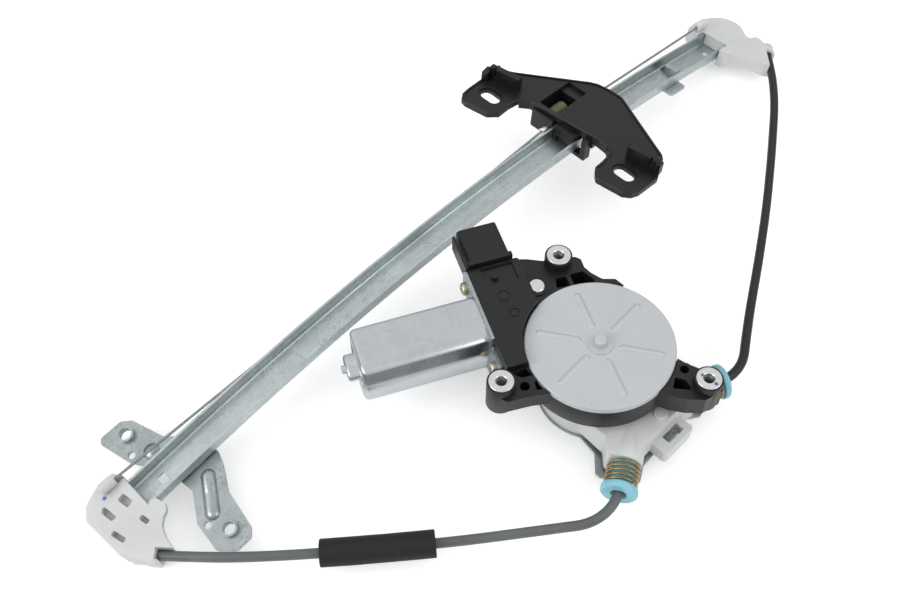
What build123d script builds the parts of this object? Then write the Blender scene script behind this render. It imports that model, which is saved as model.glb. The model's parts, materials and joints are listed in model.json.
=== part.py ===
from build123d import *
from build123d.topology import SkipClean
import os
from math import sin, cos, tan, radians, degrees, pi, asin, acos, atan2, hypot, sqrt

# Cable window regulator for a car door: an arched guide rail with a sliding glass
# carrier, and a geared motor that winds the carrier's two cables on a drum.
#
# Frame: millimetres, +Z up.  The origin is the top of the drum's centre pin, which
# stands level with the three fixing faces of the motor.  +Y runs up the guide rail,
# towards the closed window, and +X from the rail to the motor.

# ---------------------------------------------------------------- driving dimensions
# guide rail: a channel, open upwards, bent to the curve of the window
RAIL_X = -109.0            # middle of the channel
RAIL_MID_Y = 23.5          # middle of its length, where the arch is highest
RAIL_TOP_Z = -14.0         # edges of the channel at that point
RAIL_RADIUS = 1010.0       # arch, at the edges of the channel
RAIL_LENGTH = 443.0        # along the arch
RAIL_WIDTH = 17.0
RAIL_DEPTH = 8.0
RAIL_SHEET = 1.2
RAIL_BEND = 1.3            # inside radius of the channel's bends
RAIL_LENGTHS = 16          # that the channel is made in

# glass carrier and its travel
CARRIER_S = 66.0           # carrier's place on the rail, from the middle, upwards
TRAVEL_DOWN = 46.0         # to where the motor, laid beside the rail, stands in the way
TRAVEL_UP = 75.0
SLIDE_GAP = 0.3            # clearance between the carrier's shoe and the channel
CARRIER_PLATE = 3.0        # thickness of the carrier's deck
DECK_LIFT = 3.0            # underside of the deck above the channel's edges
GLASS_SLOT_LENGTH = 12.5
GLASS_SLOT_WIDTH = 7.0

# cables
CABLE_DIAMETER = 1.5
CABLE_X = -12.0            # cables run beside the channel, from its middle
CABLE_H = -3.0             # and just under its edges at the carrier
CONDUIT_DIAMETER = 4.8
SLEEVE_DIAMETER = 13.0     # rubber tube on the lower conduit
SLEEVE_START = 80.0        # from the conduit's end in the lower guide housing
SLEEVE_LENGTH = 52.5

# geared motor
MOTOR_ANGLE = 63.4         # motor's axis, from +X
WORM_OFFSET = 31.6         # motor's axis beside the drum's axis
WORM_Z = -16.5
CAN_WIDTH = 26.2
CAN_HEIGHT = 30.4
CAN_START = -110.5         # far end of the can, along the motor's axis
CAN_LENGTH = 62.0
CAN_SHEET = 1.6
CAN_CORNER = 5.0
FLANGE_THICKNESS = 1.6
COVER_RADIUS = 36.0
COVER_TOP_Z = -4.0
COVER_SHEET = 1.0
COVER_SKIRT = 3.2
PIN_RADIUS = 3.3
BOWL_FLOOR_Z = -24.0       # underside of the gear case's bowl
BOWL_STEP_Z = -20.0        # above this the bowl has the cover's radius
CASE_WALL = 2.5
BOSS_CIRCLE = 52.5         # fixing bosses, from the drum's axis
BOSS_ANGLES = (154.1, 251.1, 20.8)
BOSS_RADIUS = 6.8
BOSS_HEIGHT = 17.5
INSERT_RADIUS = 6.0        # of its flange
INSERT_BODY = 4.4
INSERT_THREAD_RADIUS = 2.5  # minor diameter of the M6 thread
INSERT_LIP = 0.6           # thickness of the insert's flange, on top of the boss
INSERT_LENGTH = 16.1
INSERT_CHAMFER = 0.4
INSERT_GAP = 0.4           # under the insert, in its boss

# worm drive
WHEEL_TEETH = 73
GEAR_MODULE = 0.76
WHEEL_WIDTH = 8.0
WORM_OUTSIDE = 4.6
TOOTH_GAP = 0.44           # backlash between worm and wheel, measured along the pitch line
SHAFT_RADIUS = 2.5

# drum
DRUM_RADIUS = 23.0         # cables' pitch radius
DRUM_HEIGHT = 14.0
DRUM_MID_Z = -35.0
CABLE_STEP = 4.0           # between the two cables on the drum
OUTPUT_RADIUS = 4.0
PLATE_Z = -46.5            # underside of the drum's steel plate
PLATE_SHEET = 1.5
HOUSING_WALL = 2.2
HOUSING_GAP = 0.8          # around the drum

# cable adjusters: sleeves pushed out of the drum housing's necks by coil springs
LOWER_NECK_ANGLE = -60.0   # direction of the cable to the lower guide
UPPER_NECK_ANGLE = 66.0    # and to the upper guide
NECK_RADIUS = 8.2
NECK_REACH = 44.0          # from the tangent point to the neck's shoulder
FLANGE_REACH = 60.0        # to the outer face of the sleeve's flange
SLEEVE_RADIUS = 5.6
SLEEVE_GAP = 0.2           # around the sleeve in its neck
SLEEVE_DEPTH = 12.0        # inside the neck
FLANGE_RADIUS = 8.8
SLEEVE_FLANGE = 3.2
SLEEVE_FLARE = 3.0         # flared mouth of the sleeve's bore
SPRING_WIRE = 1.2
SPRING_RADIUS = 7.4
SPRING_TURNS = 5

ARC_Z = RAIL_TOP_Z - RAIL_RADIUS
RAIL_AXIS = Axis((RAIL_X, RAIL_MID_Y, ARC_Z), (-1, 0, 0))
RAIL_END = RAIL_LENGTH / 2
MOTOR = Rot(0, 0, MOTOR_ANGLE)
CAN_END = CAN_START + CAN_LENGTH
DRUM_TOP = DRUM_MID_Z + DRUM_HEIGHT / 2
DRUM_BOTTOM = DRUM_MID_Z - DRUM_HEIGHT / 2
BOTTOM = (Align.CENTER, Align.CENTER, Align.MIN)
TOP = (Align.CENTER, Align.CENTER, Align.MAX)
nodes = {}


# ------------------------------------------------------------------------- helpers
def rail_at(s, x=0.0, h=0.0):
    """Place on the channel: s along the arch, x across it, h above its edges."""
    turn = Rot(-degrees(s / RAIL_RADIUS), 0, 0)
    return Pos(RAIL_X, RAIL_MID_Y, ARC_Z) * turn * Pos(x, 0, RAIL_RADIUS + h)


def along_rail(section, start, end):
    """Solid whose section (x across, y out of the channel) follows the arch."""
    face = rail_at(start) * (Plane.XZ * section)
    return revolve(face, RAIL_AXIS, degrees((end - start) / RAIL_RADIUS))


def polar(radius, angle, z=0.0):
    return (radius * cos(radians(angle)), radius * sin(radians(angle)), z)


def plate(points, thickness, radius=0.0):
    """Flat plate with its top at z = 0 and its corners rounded."""
    face = make_face(Polyline(*points, close=True))
    if radius:
        face = fillet(face.vertices(), radius)
    return extrude(face, -thickness)


def box(x0, x1, y0, y1, z0, z1):
    return Pos((x0 + x1) / 2, (y0 + y1) / 2, (z0 + z1) / 2) * Box(x1 - x0, y1 - y0, z1 - z0)


def rod(radius, start, end):
    """Cylinder from one point to another."""
    a, b = Vector(*start), Vector(*end)
    return Plane(origin=a, z_dir=b - a) * Cylinder(radius, (b - a).length, align=BOTTOM)


def ring(outer, inner, z0, z1):
    return Pos(0, 0, z0) * (Cylinder(outer, z1 - z0, align=BOTTOM)
                            - Cylinder(inner, z1 - z0, align=BOTTOM))


def conduit_path(points):
    """Straight runs joined by the largest tangent arcs that the runs allow."""
    lengths = [(Vector(*b) - Vector(*a)).length for a, b in zip(points, points[1:])]
    # an inner run is shared by two arcs; an outer one is straight where it is held
    room = [0.45 * length for length in lengths]
    room[0] = lengths[0] - SOCKET_DEPTH
    room[-1] = lengths[-1] - (FLANGE_REACH - SLEEVE_FLARE - CONDUIT_END)
    radii = []
    for i in range(1, len(points) - 1):
        before = Vector(*points[i]) - Vector(*points[i - 1])
        after = Vector(*points[i + 1]) - Vector(*points[i])
        radii.append(min(room[i - 1], room[i]) / tan(radians(before.get_angle(after)) / 2))
    print("radii", [round(r, 1) for r in radii])
    return FilletPolyline(*points, radius=radii)


def conduit(points, radius):
    path = conduit_path(points)
    start = Plane(origin=path @ 0, z_dir=path % 0)
    solid = sweep(start * Circle(radius), path=path)
    print("conduit length", round(path.length, 1), "volume share",
          round(solid.volume / (pi * radius**2 * path.length), 4))
    return solid


# ---------------------------------------------------------------------- guide rail
def channel_section():
    outer = Rectangle(RAIL_WIDTH, RAIL_DEPTH, align=(Align.CENTER, Align.MAX))
    outer = fillet(outer.vertices().group_by(Axis.Y)[0], RAIL_BEND + RAIL_SHEET)
    inner = Rectangle(RAIL_WIDTH - 2 * RAIL_SHEET, RAIL_DEPTH - RAIL_SHEET,
                      align=(Align.CENTER, Align.MAX))
    return outer - fillet(inner.vertices().group_by(Axis.Y)[0], RAIL_BEND)


STOP_S = RAIL_END - 47.5    # lanced stop near the top of the rail
STOP_HALF = 6.0
STOP_WIDTH = 4.0
STOP_HEIGHT = 3.4
FOOT_S = RAIL_END - 58.0    # foot tab on the rail's motor side
FOOT_LENGTH = 14.0
FOOT_REACH = 5.5


def channel():
    """The bent sheet, in equal lengths whose seams stay, so that its facets stay short."""
    step = RAIL_LENGTH / RAIL_LENGTHS
    starts = [i * step - RAIL_END for i in range(RAIL_LENGTHS)]
    lengths = [along_rail(channel_section(), start, start + step) for start in starts]
    return lengths[0].fuse(*lengths[1:])


def guide_rail():
    floor = -RAIL_DEPTH
    low = floor + RAIL_SHEET / 2
    # lanced stop: a strip of the floor is cut free on both sides and pushed up
    line = Polyline((-STOP_HALF - 0.5, low), (-STOP_HALF + 2, low + STOP_HEIGHT),
                    (STOP_HALF - 2, low + STOP_HEIGHT), (STOP_HALF + 0.5, low))
    strip = extrude(Plane.XZ * trace(line, RAIL_SHEET), STOP_WIDTH / 2, both=True)
    foot = Rectangle(FOOT_REACH + 2 * RAIL_SHEET, FOOT_LENGTH, align=(Align.MIN, Align.CENTER))
    foot = extrude(fillet(foot.vertices().group_by(Axis.X)[-1], 2.0), -RAIL_SHEET)
    with SkipClean():
        rail = channel()
        for s, x, size in ((-RAIL_END + 13.3, 0.0, (5.0, 4.0)), (RAIL_END - 13.0, 0.6, (3.6, 3.6))):
            rail -= rail_at(s, x, floor) * Box(size[0], size[1], 4 * RAIL_SHEET)
        rail -= rail_at(STOP_S, 0, floor) * Box(2 * STOP_HALF, STOP_WIDTH + 3, 4 * RAIL_SHEET)
        rail += rail_at(STOP_S) * strip
        rail += rail_at(FOOT_S, RAIL_WIDTH / 2 - 2 * RAIL_SHEET, floor + RAIL_SHEET) * foot
    return rail


# ------------------------------------------------------------------- lower bracket
BRACKET_S = 31.5 - RAIL_END
BRACKET_SHEET = 1.8
BRACKET_OUTLINE = [
    (-40.2, -26.3), (-39.7, -14.2), (-35.7, -9.7), (-17.4, -4.6), (-8.5, 3.0), (8.5, 9.0),
    (15.2, 6.5), (27.9, -0.6), (49.1, -4.4), (52.7, -7.8), (52.5, -16.3), (45.5, -22.8),
    (29.3, -21.0), (15.0, -12.3), (3.0, -13.5), (-12.5, -20.4), (-19.6, -24.2), (-37.5, -28.3)]
BRACKET_HOLES = ((-31.5, -16.6), (42.6, -12.0))
BRACKET_PILOTS = ((-21.5, -21.1), (33.2, -17.7))
BRACKET_HOLE_RADIUS = 3.1
COLLAR_HEIGHT = 2.2
BEAD = ((15.0, -2.5), (30.5, -12.6))
BEAD_RADIUS = 4.0


def lower_bracket():
    place = rail_at(BRACKET_S, 0, -RAIL_DEPTH)
    body = plate(BRACKET_OUTLINE, BRACKET_SHEET, 2.0)
    for x, y in BRACKET_HOLES:
        collar = Pos(x, y, 0) * Cylinder(BRACKET_HOLE_RADIUS + 1.1, COLLAR_HEIGHT, align=BOTTOM)
        body += collar
        body -= Pos(x, y, 0) * Cylinder(BRACKET_HOLE_RADIUS, 12)
    for x, y in BRACKET_PILOTS:
        body -= Pos(x, y, 0) * Cylinder(1.9, 12)
    # pressed bead along the motor-side arm, and a pressed dome beside the rail
    (x0, y0), (x1, y1) = BEAD
    run = hypot(x1 - x0, y1 - y0)
    turn = Rot(0, 0, degrees(atan2(y1 - y0, x1 - x0)))
    bead = Pos(x0, y0, -1.6) * turn * (
        extrude(Plane.YZ * (Circle(BEAD_RADIUS) & Rectangle(20, 20, align=(Align.CENTER, Align.MIN))), run)
        + Pos(run, 0, 0) * (Sphere(BEAD_RADIUS) & Box(20, 20, 20, align=BOTTOM))
        + Sphere(BEAD_RADIUS) & Box(20, 20, 20, align=BOTTOM))
    hollow = Pos(x0, y0, -1.6 - BRACKET_SHEET) * turn * (
        extrude(Plane.YZ * (Circle(BEAD_RADIUS) & Rectangle(20, 20, align=(Align.CENTER, Align.MIN))), run)
        + Pos(run, 0, 0) * (Sphere(BEAD_RADIUS) & Box(20, 20, 20, align=BOTTOM)))
    body = body + bead - hollow
    dome = Pos(-15.4, -13.2, -4.2) * (Sphere(6.0) - Pos(0, 0, -BRACKET_SHEET) * Sphere(6.0))
    body += dome & Pos(0, 0, -BRACKET_SHEET) * Box(300, 300, 40, align=BOTTOM)
    body -= Pos(-15.4, -13.2, -4.2 - BRACKET_SHEET) * Sphere(6.0)
    return place * body


# ------------------------------------------------------------------- guide housings
GUIDE_TOP = 1.2            # housings' top above the channel's edges
GUIDE_BOTTOM = -9.6
GUIDE_PLATE = 2.8          # thickness of the lower housing's top beside the rail
UPPER_ARM_BOTTOM = -7.4    # of the upper housing, beside the rail
GUIDE_COVER = 30.0         # length of rail that the housings' cuts clear
SOCKET_RADIUS = 4.3
CABLE_BEND = 13.0          # radius of the cable's groove in the housings
GUIDE_PLACE = 7.5          # housings' places, before the ends of the rail
LOWER_S = GUIDE_PLACE - RAIL_END
LOWER_EXIT_ANGLE = 40.6    # direction in which the lower conduit leaves
UPPER_S = RAIL_END - GUIDE_PLACE
UPPER_EXIT_ANGLE = -48.5
LOWER_SOCKET = (30.9, -16.8)
UPPER_SOCKET = (32.0, 18.2)
LOWER_SOCKET_H = -4.2      # conduits' axes, above the channel's edges
UPPER_SOCKET_H = -3.4
SOCKET_DEPTH = 9.0
LOWER_MOUTH = 3.0          # from the sockets' mouths back to where their tops close
UPPER_MOUTH = 6.5
LOWER_PLUG = 0.9           # housings' tongues inside the channel's ends
UPPER_PLUG = 4.5


def rail_plug(clearance=0.25):
    """Tongue that fills the end of the channel, with clearance all round."""
    tongue = Rectangle(RAIL_WIDTH - 2 * RAIL_SHEET - 2 * clearance, RAIL_DEPTH - RAIL_SHEET - clearance,
                       align=(Align.CENTER, Align.MAX))
    return fillet(tongue.vertices().group_by(Axis.Y)[0], RAIL_BEND)


def rail_pocket(clearance=0.25):
    """Space of the channel's own section, with clearance all round."""
    outer = Rectangle(RAIL_WIDTH + 2 * clearance, RAIL_DEPTH + clearance,
                      align=(Align.CENTER, Align.MAX))
    return Pos(0, clearance) * outer


def socket_bore(socket, back):
    """Hole for the conduit's end, open on top from the mouth on."""
    wide = CONDUIT_DIAMETER / 2 + 0.2
    hole = Rot(0, 90, 0) * Pos(0, 0, -SOCKET_DEPTH) * Cylinder(wide, SOCKET_DEPTH + 14, align=BOTTOM)
    return socket * (hole + box(-back, 14, -wide, wide, 0, 12))


def socket_collar(socket, back):
    collar = Rot(0, 90, 0) * Pos(0, 0, -back) * Cylinder(SOCKET_RADIUS, SOCKET_DEPTH + 5 - back, align=TOP)
    return socket * collar


def lower_guide_housing():
    place = rail_at(LOWER_S)
    outline = [(-16.6, -9.0), (-17.2, -14.5), (-16.8, -20.5), (-15.4, -24.5), (-13.4, -28.2), (-8.0, -32.0),
               (5.0, -31.4), (17.3, -30.8), (23.0, -27.2), (28.9, -23.8), (32.4, -21.2), (29.2, -16.8), (31.2, -14.4),
               (34.6, -11.9), (29.6, -11.0), (26.2, -10.4), (21.8, -8.7), (18.6, -5.5), (17.2, -2.2), (14.4, -0.7), (9.0, -2.1),
               (9.0, -6.6), (-9.2, -6.6), (-10.4, -6.2), (-13.4, -7.2)]
    face = make_face(Polyline(*outline, close=True))
    corners = face.vertices().sort_by(Axis.Y)
    face = fillet(corners[:8], 1.6)
    body = Pos(0, 0, GUIDE_BOTTOM) * extrude(face, GUIDE_TOP - GUIDE_BOTTOM)
    body = chamfer(body.faces().sort_by(Axis.Z)[-1].edges().group_by(Axis.Y)[0], 1.2)
    # relief windows over the ribs of the cable's groove
    for x, y, w, d, turn in ((-1.1, -12.8, 6.8, 4.0, 9), (13.0, -12.2, 5.2, 2.6, 10), (10.1, -25.6, 7.8, 2.6, 13)):
        window = fillet(Rectangle(w, d).vertices(), 0.8)
        body -= Pos(x, y, GUIDE_TOP) * Rot(0, 0, turn) * extrude(window, -4)
    arc_window = make_face(Polyline((-7.0, -21.6), (2.2, -20.2), (1.9, -23.4), (-5.0, -24.4), close=True))
    body -= Pos(0, 0, GUIDE_TOP) * extrude(fillet(arc_window.vertices(), 0.8), -4)
    # only the top plate reaches out beside the channel, on the motor's side
    body -= box(RAIL_WIDTH / 2 + 2.2, 40, -12.0, 5, GUIDE_BOTTOM - 1, GUIDE_TOP - GUIDE_PLATE)
    # the cable comes in beside the channel, and goes round to the conduit's socket
    body += Pos(CABLE_X, -9.0, -4.0) * Cylinder(3.2, 5, rotation=(90, 0, 0))
    body = place * body
    body -= along_rail(rail_pocket(), -RAIL_END - 0.3, -RAIL_END + GUIDE_COVER)
    body += along_rail(rail_plug(), -RAIL_END - 2, -RAIL_END + LOWER_PLUG)
    socket = place * Pos(LOWER_SOCKET[0], LOWER_SOCKET[1], LOWER_SOCKET_H) * Rot(0, 0, LOWER_EXIT_ANGLE)
    return body + socket_collar(socket, LOWER_MOUTH) - socket_bore(socket, LOWER_MOUTH)


def upper_guide_housing():
    place = rail_at(UPPER_S)
    outline = [(-16.4, -3.6), (-17.9, 5.9), (-17.0, 14.5), (-15.0, 21.5), (-12.4, 25.7), (-8.3, 28.6), (-2.9, 29.8),
               (1.9, 29.0), (5.8, 26.2), (9.4, 23.0), (12.4, 22.9), (13.9, 27.2), (15.9, 28.4), (21.5, 26.6),
               (26.6, 24.6), (35.1, 18.5), (39.6, 12.6), (38.6, 9.6), (34.5, 6.6), (30.3, 5.6), (24.9, 4.8),
               (19.3, 2.0), (16.2, -0.6), (13.4, -5.0), (9.1, -5.4), (9.1, 3.2), (-9.1, 2.0), (-9.1, -3.2)]
    face = make_face(Polyline(*outline, close=True))
    face = fillet(face.vertices().sort_by(Axis.Y)[-11:], 0.9)
    body = Pos(0, 0, UPPER_ARM_BOTTOM) * extrude(face, GUIDE_TOP - UPPER_ARM_BOTTOM)
    body = chamfer(body.faces().sort_by(Axis.Z)[-1].edges().group_by(Axis.Y)[-1], 0.5)
    # deeper part round the end of the rail
    deep = face & Pos(0, 10) * Rectangle(27.5, 60)
    body += Pos(0, 0, GUIDE_BOTTOM) * extrude(deep, UPPER_ARM_BOTTOM - GUIDE_BOTTOM + 1)
    body = place * body
    body -= along_rail(rail_pocket(), RAIL_END - GUIDE_COVER, RAIL_END + 0.3)
    body += along_rail(rail_plug(), RAIL_END - UPPER_PLUG, RAIL_END + 2)
    socket = place * Pos(UPPER_SOCKET[0], UPPER_SOCKET[1], UPPER_SOCKET_H) * Rot(0, 0, UPPER_EXIT_ANGLE)
    return body + socket_collar(socket, UPPER_MOUTH) - socket_bore(socket, UPPER_MOUTH)


# ------------------------------------------------------------------------- carrier
DECK_OUTLINE = [
    (-57.6, -9.5), (-56.8, -14.5), (-54.0, -18.2), (-50.5, -18.9), (-36.2, -16.2), (-31.8, -11.0), (-32.4, -3.0),
    (-31.8, 4.0), (-26.4, 8.4), (-19.3, 9.9), (-10.8, 10.4), (4.9, 12.0), (17.4, 13.8), (25.3, 13.2), (29.8, 10.4),
    (31.0, 3.0), (31.3, -3.0), (34.6, -7.2), (37.4, -9.4), (53.5, -7.2), (57.4, -4.2), (59.0, 0.0), (59.3, 15.3),
    (52.3, 28.6), (49.6, 31.0), (33.4, 38.0), (5.9, 49.9), (-2.5, 49.8), (-10.6, 48.3), (-15.0, 46.0), (-34.6, 31.2),
    (-49.0, 20.4), (-52.6, 18.2), (-58.4, 9.0)]
GLASS_SLOTS = ((-45.0, -4.2), (44.6, 5.2))
DECK_TOP = DECK_LIFT + CARRIER_PLATE
GLASS_SEAT = DECK_TOP - 0.8           # recessed face round each slot
DECK_RIM = 0.6             # raised rim along the deck's edge
SKIRT = 2.2                # under the deck's front edge, clear of the channel
LUG_HEIGHT = 8.7
LUG_WALL = 3.4
POCKET = (-23.0, -10.0, 12.6, 31.0)   # cable pocket: x0, x1, y0, y1
RECESS_END = 37.4          # shallow recess beyond the pocket
RECESS_DEPTH = 2.4
ANCHOR = (-24.6, -9.0, 8.2, 41.0)     # block beside the channel that holds the cables
ANCHOR_BOTTOM = -9.0
SHOE_START = 7.0           # the shoe's ends, from the carrier's place on the rail
SHOE_END = 25.0
HOOK_START = 9.4           # hooks under the channel's floor, on both sides
HOOK_END = 14.4
HOOK_WALL = 3.2
HOOK_REACH = 2.6
HOOK_OUT = 2.6             # motor-side hook's extra distance from the channel
SHOE_NECK = 4.5            # half width of the shoe's stem through the deck
STEM_INSET = 4.0           # stem's ends, inside the shoe's
FERRULE_RADIUS = 2.1
FERRULE_REACH = 5.0        # cable ends' length outside the block


def lug(place, length, gap, block):
    """Upstand behind a glass slot: a wall with a gap before a lower block at its outer end."""
    wall = box(0, length, 0, LUG_WALL, -1, LUG_HEIGHT)
    wall = fillet(wall.edges().filter_by(Axis.Y).group_by(Axis.Z)[-1], 1.8)
    wall = fillet(wall.edges().filter_by(Axis.X).group_by(Axis.Z)[-1], 0.7)
    wall += box(2.0, 4.0, LUG_WALL - 0.5, LUG_WALL + 4, -1, LUG_HEIGHT - 3.5)
    wall += box(length - 4.0, length - 2.0, LUG_WALL - 0.5, LUG_WALL + 4, -1, LUG_HEIGHT - 3.5)
    x0, x1, y0, y1, height = block
    outer = box(x0, x1, y0, y1, -1, height)
    wall += fillet(outer.edges().group_by(Axis.Z)[-1], 0.8)
    wall -= box(gap, gap + 1.6, -6, LUG_WALL + 6, 2.6, 20)
    return place * wall


def carrier_bracket():
    face = make_face(Polyline(*DECK_OUTLINE, close=True))
    body = Pos(0, 0, DECK_LIFT) * extrude(face, CARRIER_PLATE)
    body += Pos(0, 0, DECK_TOP) * extrude(face - offset(face, -1.5), DECK_RIM)
    body = chamfer(body.faces().filter_by(Plane.XY).sort_by(Axis.Z)[-1].outer_wire().edges(), 0.5)
    # skirt under the deck's front edge, between the ears
    front = (face - offset(face, -2.0)) & Pos(0, 5) * Rectangle(62.5, 20)
    half = RAIL_WIDTH / 2
    body += Pos(0, 0, DECK_LIFT - SKIRT) * extrude(front, SKIRT + 0.5)
    body -= box(-half, half, SHOE_START - 1, SHOE_END + 1, DECK_LIFT - SKIRT - 1, DECK_LIFT)
    x0, x1, y0, y1 = ANCHOR
    block = box(x0, x1, y0, y1, ANCHOR_BOTTOM, DECK_LIFT + 0.5)
    body += fillet(block.edges().filter_by(Axis.Z), 0.8)
    # hooks reach round the channel's edges and keep the carrier on it
    wall = RAIL_WIDTH / 2 + SLIDE_GAP
    under = -RAIL_DEPTH - SLIDE_GAP
    for side, out in ((-1, 0.0), (1, HOOK_OUT)):
        hook = box(wall + out, wall + out + HOOK_WALL, HOOK_START, HOOK_END, under - 2.0, DECK_LIFT + 0.5)
        hook += box(wall - HOOK_REACH, wall + out + HOOK_WALL, HOOK_START, HOOK_END, under - 2.0, under)
        body += hook if side > 0 else mirror(hook, Plane.YZ)
    # ribs under the deck, on both sides of the channel
    body += box(wall + 6, wall + 7.6, 13.0, 40.0, -2.0, DECK_LIFT + 0.5)
    x0, x1, y0, y1 = POCKET
    body -= box(x0, x1, y0, y1, ANCHOR_BOTTOM + 2, DECK_TOP + 2)
    body -= box(x0, x1, y1 - 1, RECESS_END, DECK_TOP - RECESS_DEPTH, DECK_TOP + 2)
    for start, end in ((ANCHOR[2], POCKET[2]), (POCKET[3], ANCHOR[3])):
        body -= rod(FERRULE_RADIUS + 0.1, (CABLE_X, start - 1, CABLE_H), (CABLE_X, end + 1, CABLE_H))
    for x, y in GLASS_SLOTS:
        body -= Pos(x, y, 0) * extrude(SlotOverall(GLASS_SLOT_LENGTH, GLASS_SLOT_WIDTH), 40)
        rim = SlotOverall(GLASS_SLOT_LENGTH + 2.4, GLASS_SLOT_WIDTH + 2.4)
        body -= Pos(x, y, GLASS_SEAT) * extrude(rim, 3)
    outer_lug, inner_lug = LUG_PLACES
    top = Pos(0, 0, DECK_TOP)
    body += lug(top * Pos(*outer_lug) * Rot(0, 0, LUG_ANGLES[0]), 20.0, 3.4, (-2.4, 1.4, -3.4, 2.6, LUG_HEIGHT - 2.6))
    body += lug(top * Pos(*inner_lug) * Rot(0, 0, LUG_ANGLES[1]), 18.6, 14.6, (17.0, 20.6, 0.4, 4.4, LUG_HEIGHT - 2.2))
    # opening for the shoe's stem
    body -= box(-SHOE_NECK, SHOE_NECK, SHOE_START + STEM_INSET, SHOE_END - STEM_INSET, 0, DECK_TOP - 1.2)
    return rail_at(CARRIER_S) * body


LUG_PLACES = ((-56.4, 5.6), (37.4, 14.2))
LUG_ANGLES = (11.0, 8.6)


def slide_shoe():
    """Acetal shoe in the channel, curved to the arch, with a stem in the deck."""
    half = RAIL_WIDTH / 2 - RAIL_SHEET - SLIDE_GAP
    depth = RAIL_DEPTH - RAIL_SHEET - SLIDE_GAP
    section = Pos(0, DECK_LIFT) * Rectangle(2 * half, depth + DECK_LIFT, align=(Align.CENTER, Align.MAX))
    section = fillet(section.vertices().group_by(Axis.Y)[0], RAIL_BEND + 0.2)
    start, end = CARRIER_S + SHOE_START, CARRIER_S + SHOE_END
    body = along_rail(section, start, end)
    body &= rail_at(CARRIER_S) * box(-20, 20, -10, 60, -20, DECK_LIFT)
    for s in (start, end):
        body -= rail_at(s, 0, -RAIL_DEPTH) * Box(2 * half - 5, 4, RAIL_DEPTH + 2.5)
    stem = box(-SHOE_NECK + 0.1, SHOE_NECK - 0.1, SHOE_START + STEM_INSET + 0.1, SHOE_END - STEM_INSET - 0.1,
               0, DECK_TOP - 1.4)
    return body + rail_at(CARRIER_S) * stem


def cable_stop():
    """Soft buffer that lies in the cable pocket, before the lower cable's end."""
    x, z = (POCKET[0] + POCKET[1]) / 2, ANCHOR_BOTTOM + 2 + BUFFER_RADIUS
    body = rod(BUFFER_RADIUS, (x, POCKET[2] + 0.6, z), (x, POCKET[3] - 4.0, z))
    body = fillet(body.edges().filter_by(GeomType.CIRCLE), 1.2)
    return rail_at(CARRIER_S) * (body - rod(1.2, (x, 0, z), (x, 60, z)))


BUFFER_RADIUS = 4.4


def ferrule(y0, y1):
    body = rod(FERRULE_RADIUS, (CABLE_X, y0, CABLE_H), (CABLE_X, y1, CABLE_H))
    return rail_at(CARRIER_S) * chamfer(body.edges().filter_by(GeomType.CIRCLE), 0.4)


# ---------------------------------------------------------------------- cable runs
CABLE_LIFT = 3.4           # cables above the channel's edges where the guides take them
LOWER_KNOB = -10.0         # place of the cable's entry in the lower housing
UPPER_KNOB = -2.5


def carrier_point(y):
    return (rail_at(CARRIER_S) * Pos(CABLE_X, y, CABLE_H)).position


def guide_point(s, y):
    return (rail_at(s) * Pos(CABLE_X, y, CABLE_LIFT)).position


FERRULE_START = ANCHOR[2] - FERRULE_REACH
FERRULE_END = ANCHOR[3] + FERRULE_REACH
lower_entry = guide_point(LOWER_S, LOWER_KNOB)
upper_entry = guide_point(UPPER_S, UPPER_KNOB)


def knob(housing, entry, start, reach):
    """Short tube on a guide housing that takes the cable in, and a slot over the cable."""
    run = (Vector(*start) - Vector(*entry)).normalized()
    back = Vector(*entry) - run * reach
    slot = Plane(origin=entry, x_dir=(1, 0, 0), z_dir=run)
    slot = slot * box(-1.6, 1.6, -1.6, 12, 0, 40)
    return housing - slot + rod(2.7, back, entry) - rod(CABLE_DIAMETER / 2 + 0.3, back + run * 0.5, entry + run)


def cable_run(start, end, y, side):
    """Free cable; its carrier end meets the cable end's face at y."""
    over = Vector(*end) + (Vector(*end) - Vector(*start)).normalized()
    solid = rod(CABLE_DIAMETER / 2, start, over)
    if side < 0:
        return solid - rail_at(CARRIER_S) * box(-40, 0, y, y + 20, -20, 20)
    return solid - rail_at(CARRIER_S) * box(-40, 0, y - 20, y, -20, 20)


# ------------------------------------------------------------------- drum and wheel
def gear_tooth_space(module, teeth, gap):
    """Gap between two straight-sided teeth, on the +X side of the wheel."""
    pitch = module * teeth / 2
    half = module * pi / 4 + gap / 4
    slope = tan(radians(20))
    top, root = 1.0 * module + 0.3, 1.2 * module
    return Polyline((pitch - root, -half + root * slope), (pitch + top, -half - top * slope),
                    (pitch + top, half + top * slope), (pitch - root, half - root * slope), close=True)


PITCH_RADIUS = GEAR_MODULE * WHEEL_TEETH / 2
WORM_PITCH = WORM_OFFSET - PITCH_RADIUS
LEAD_ANGLE = degrees(atan2(pi * GEAR_MODULE, 2 * pi * WORM_PITCH))
WHEEL_BORE = 9.0
DAMPER_RADIUS = 21.0
WHEEL_PHASE = 0.28 * 360 / WHEEL_TEETH   # sets the teeth midway in the worm's thread


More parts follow.
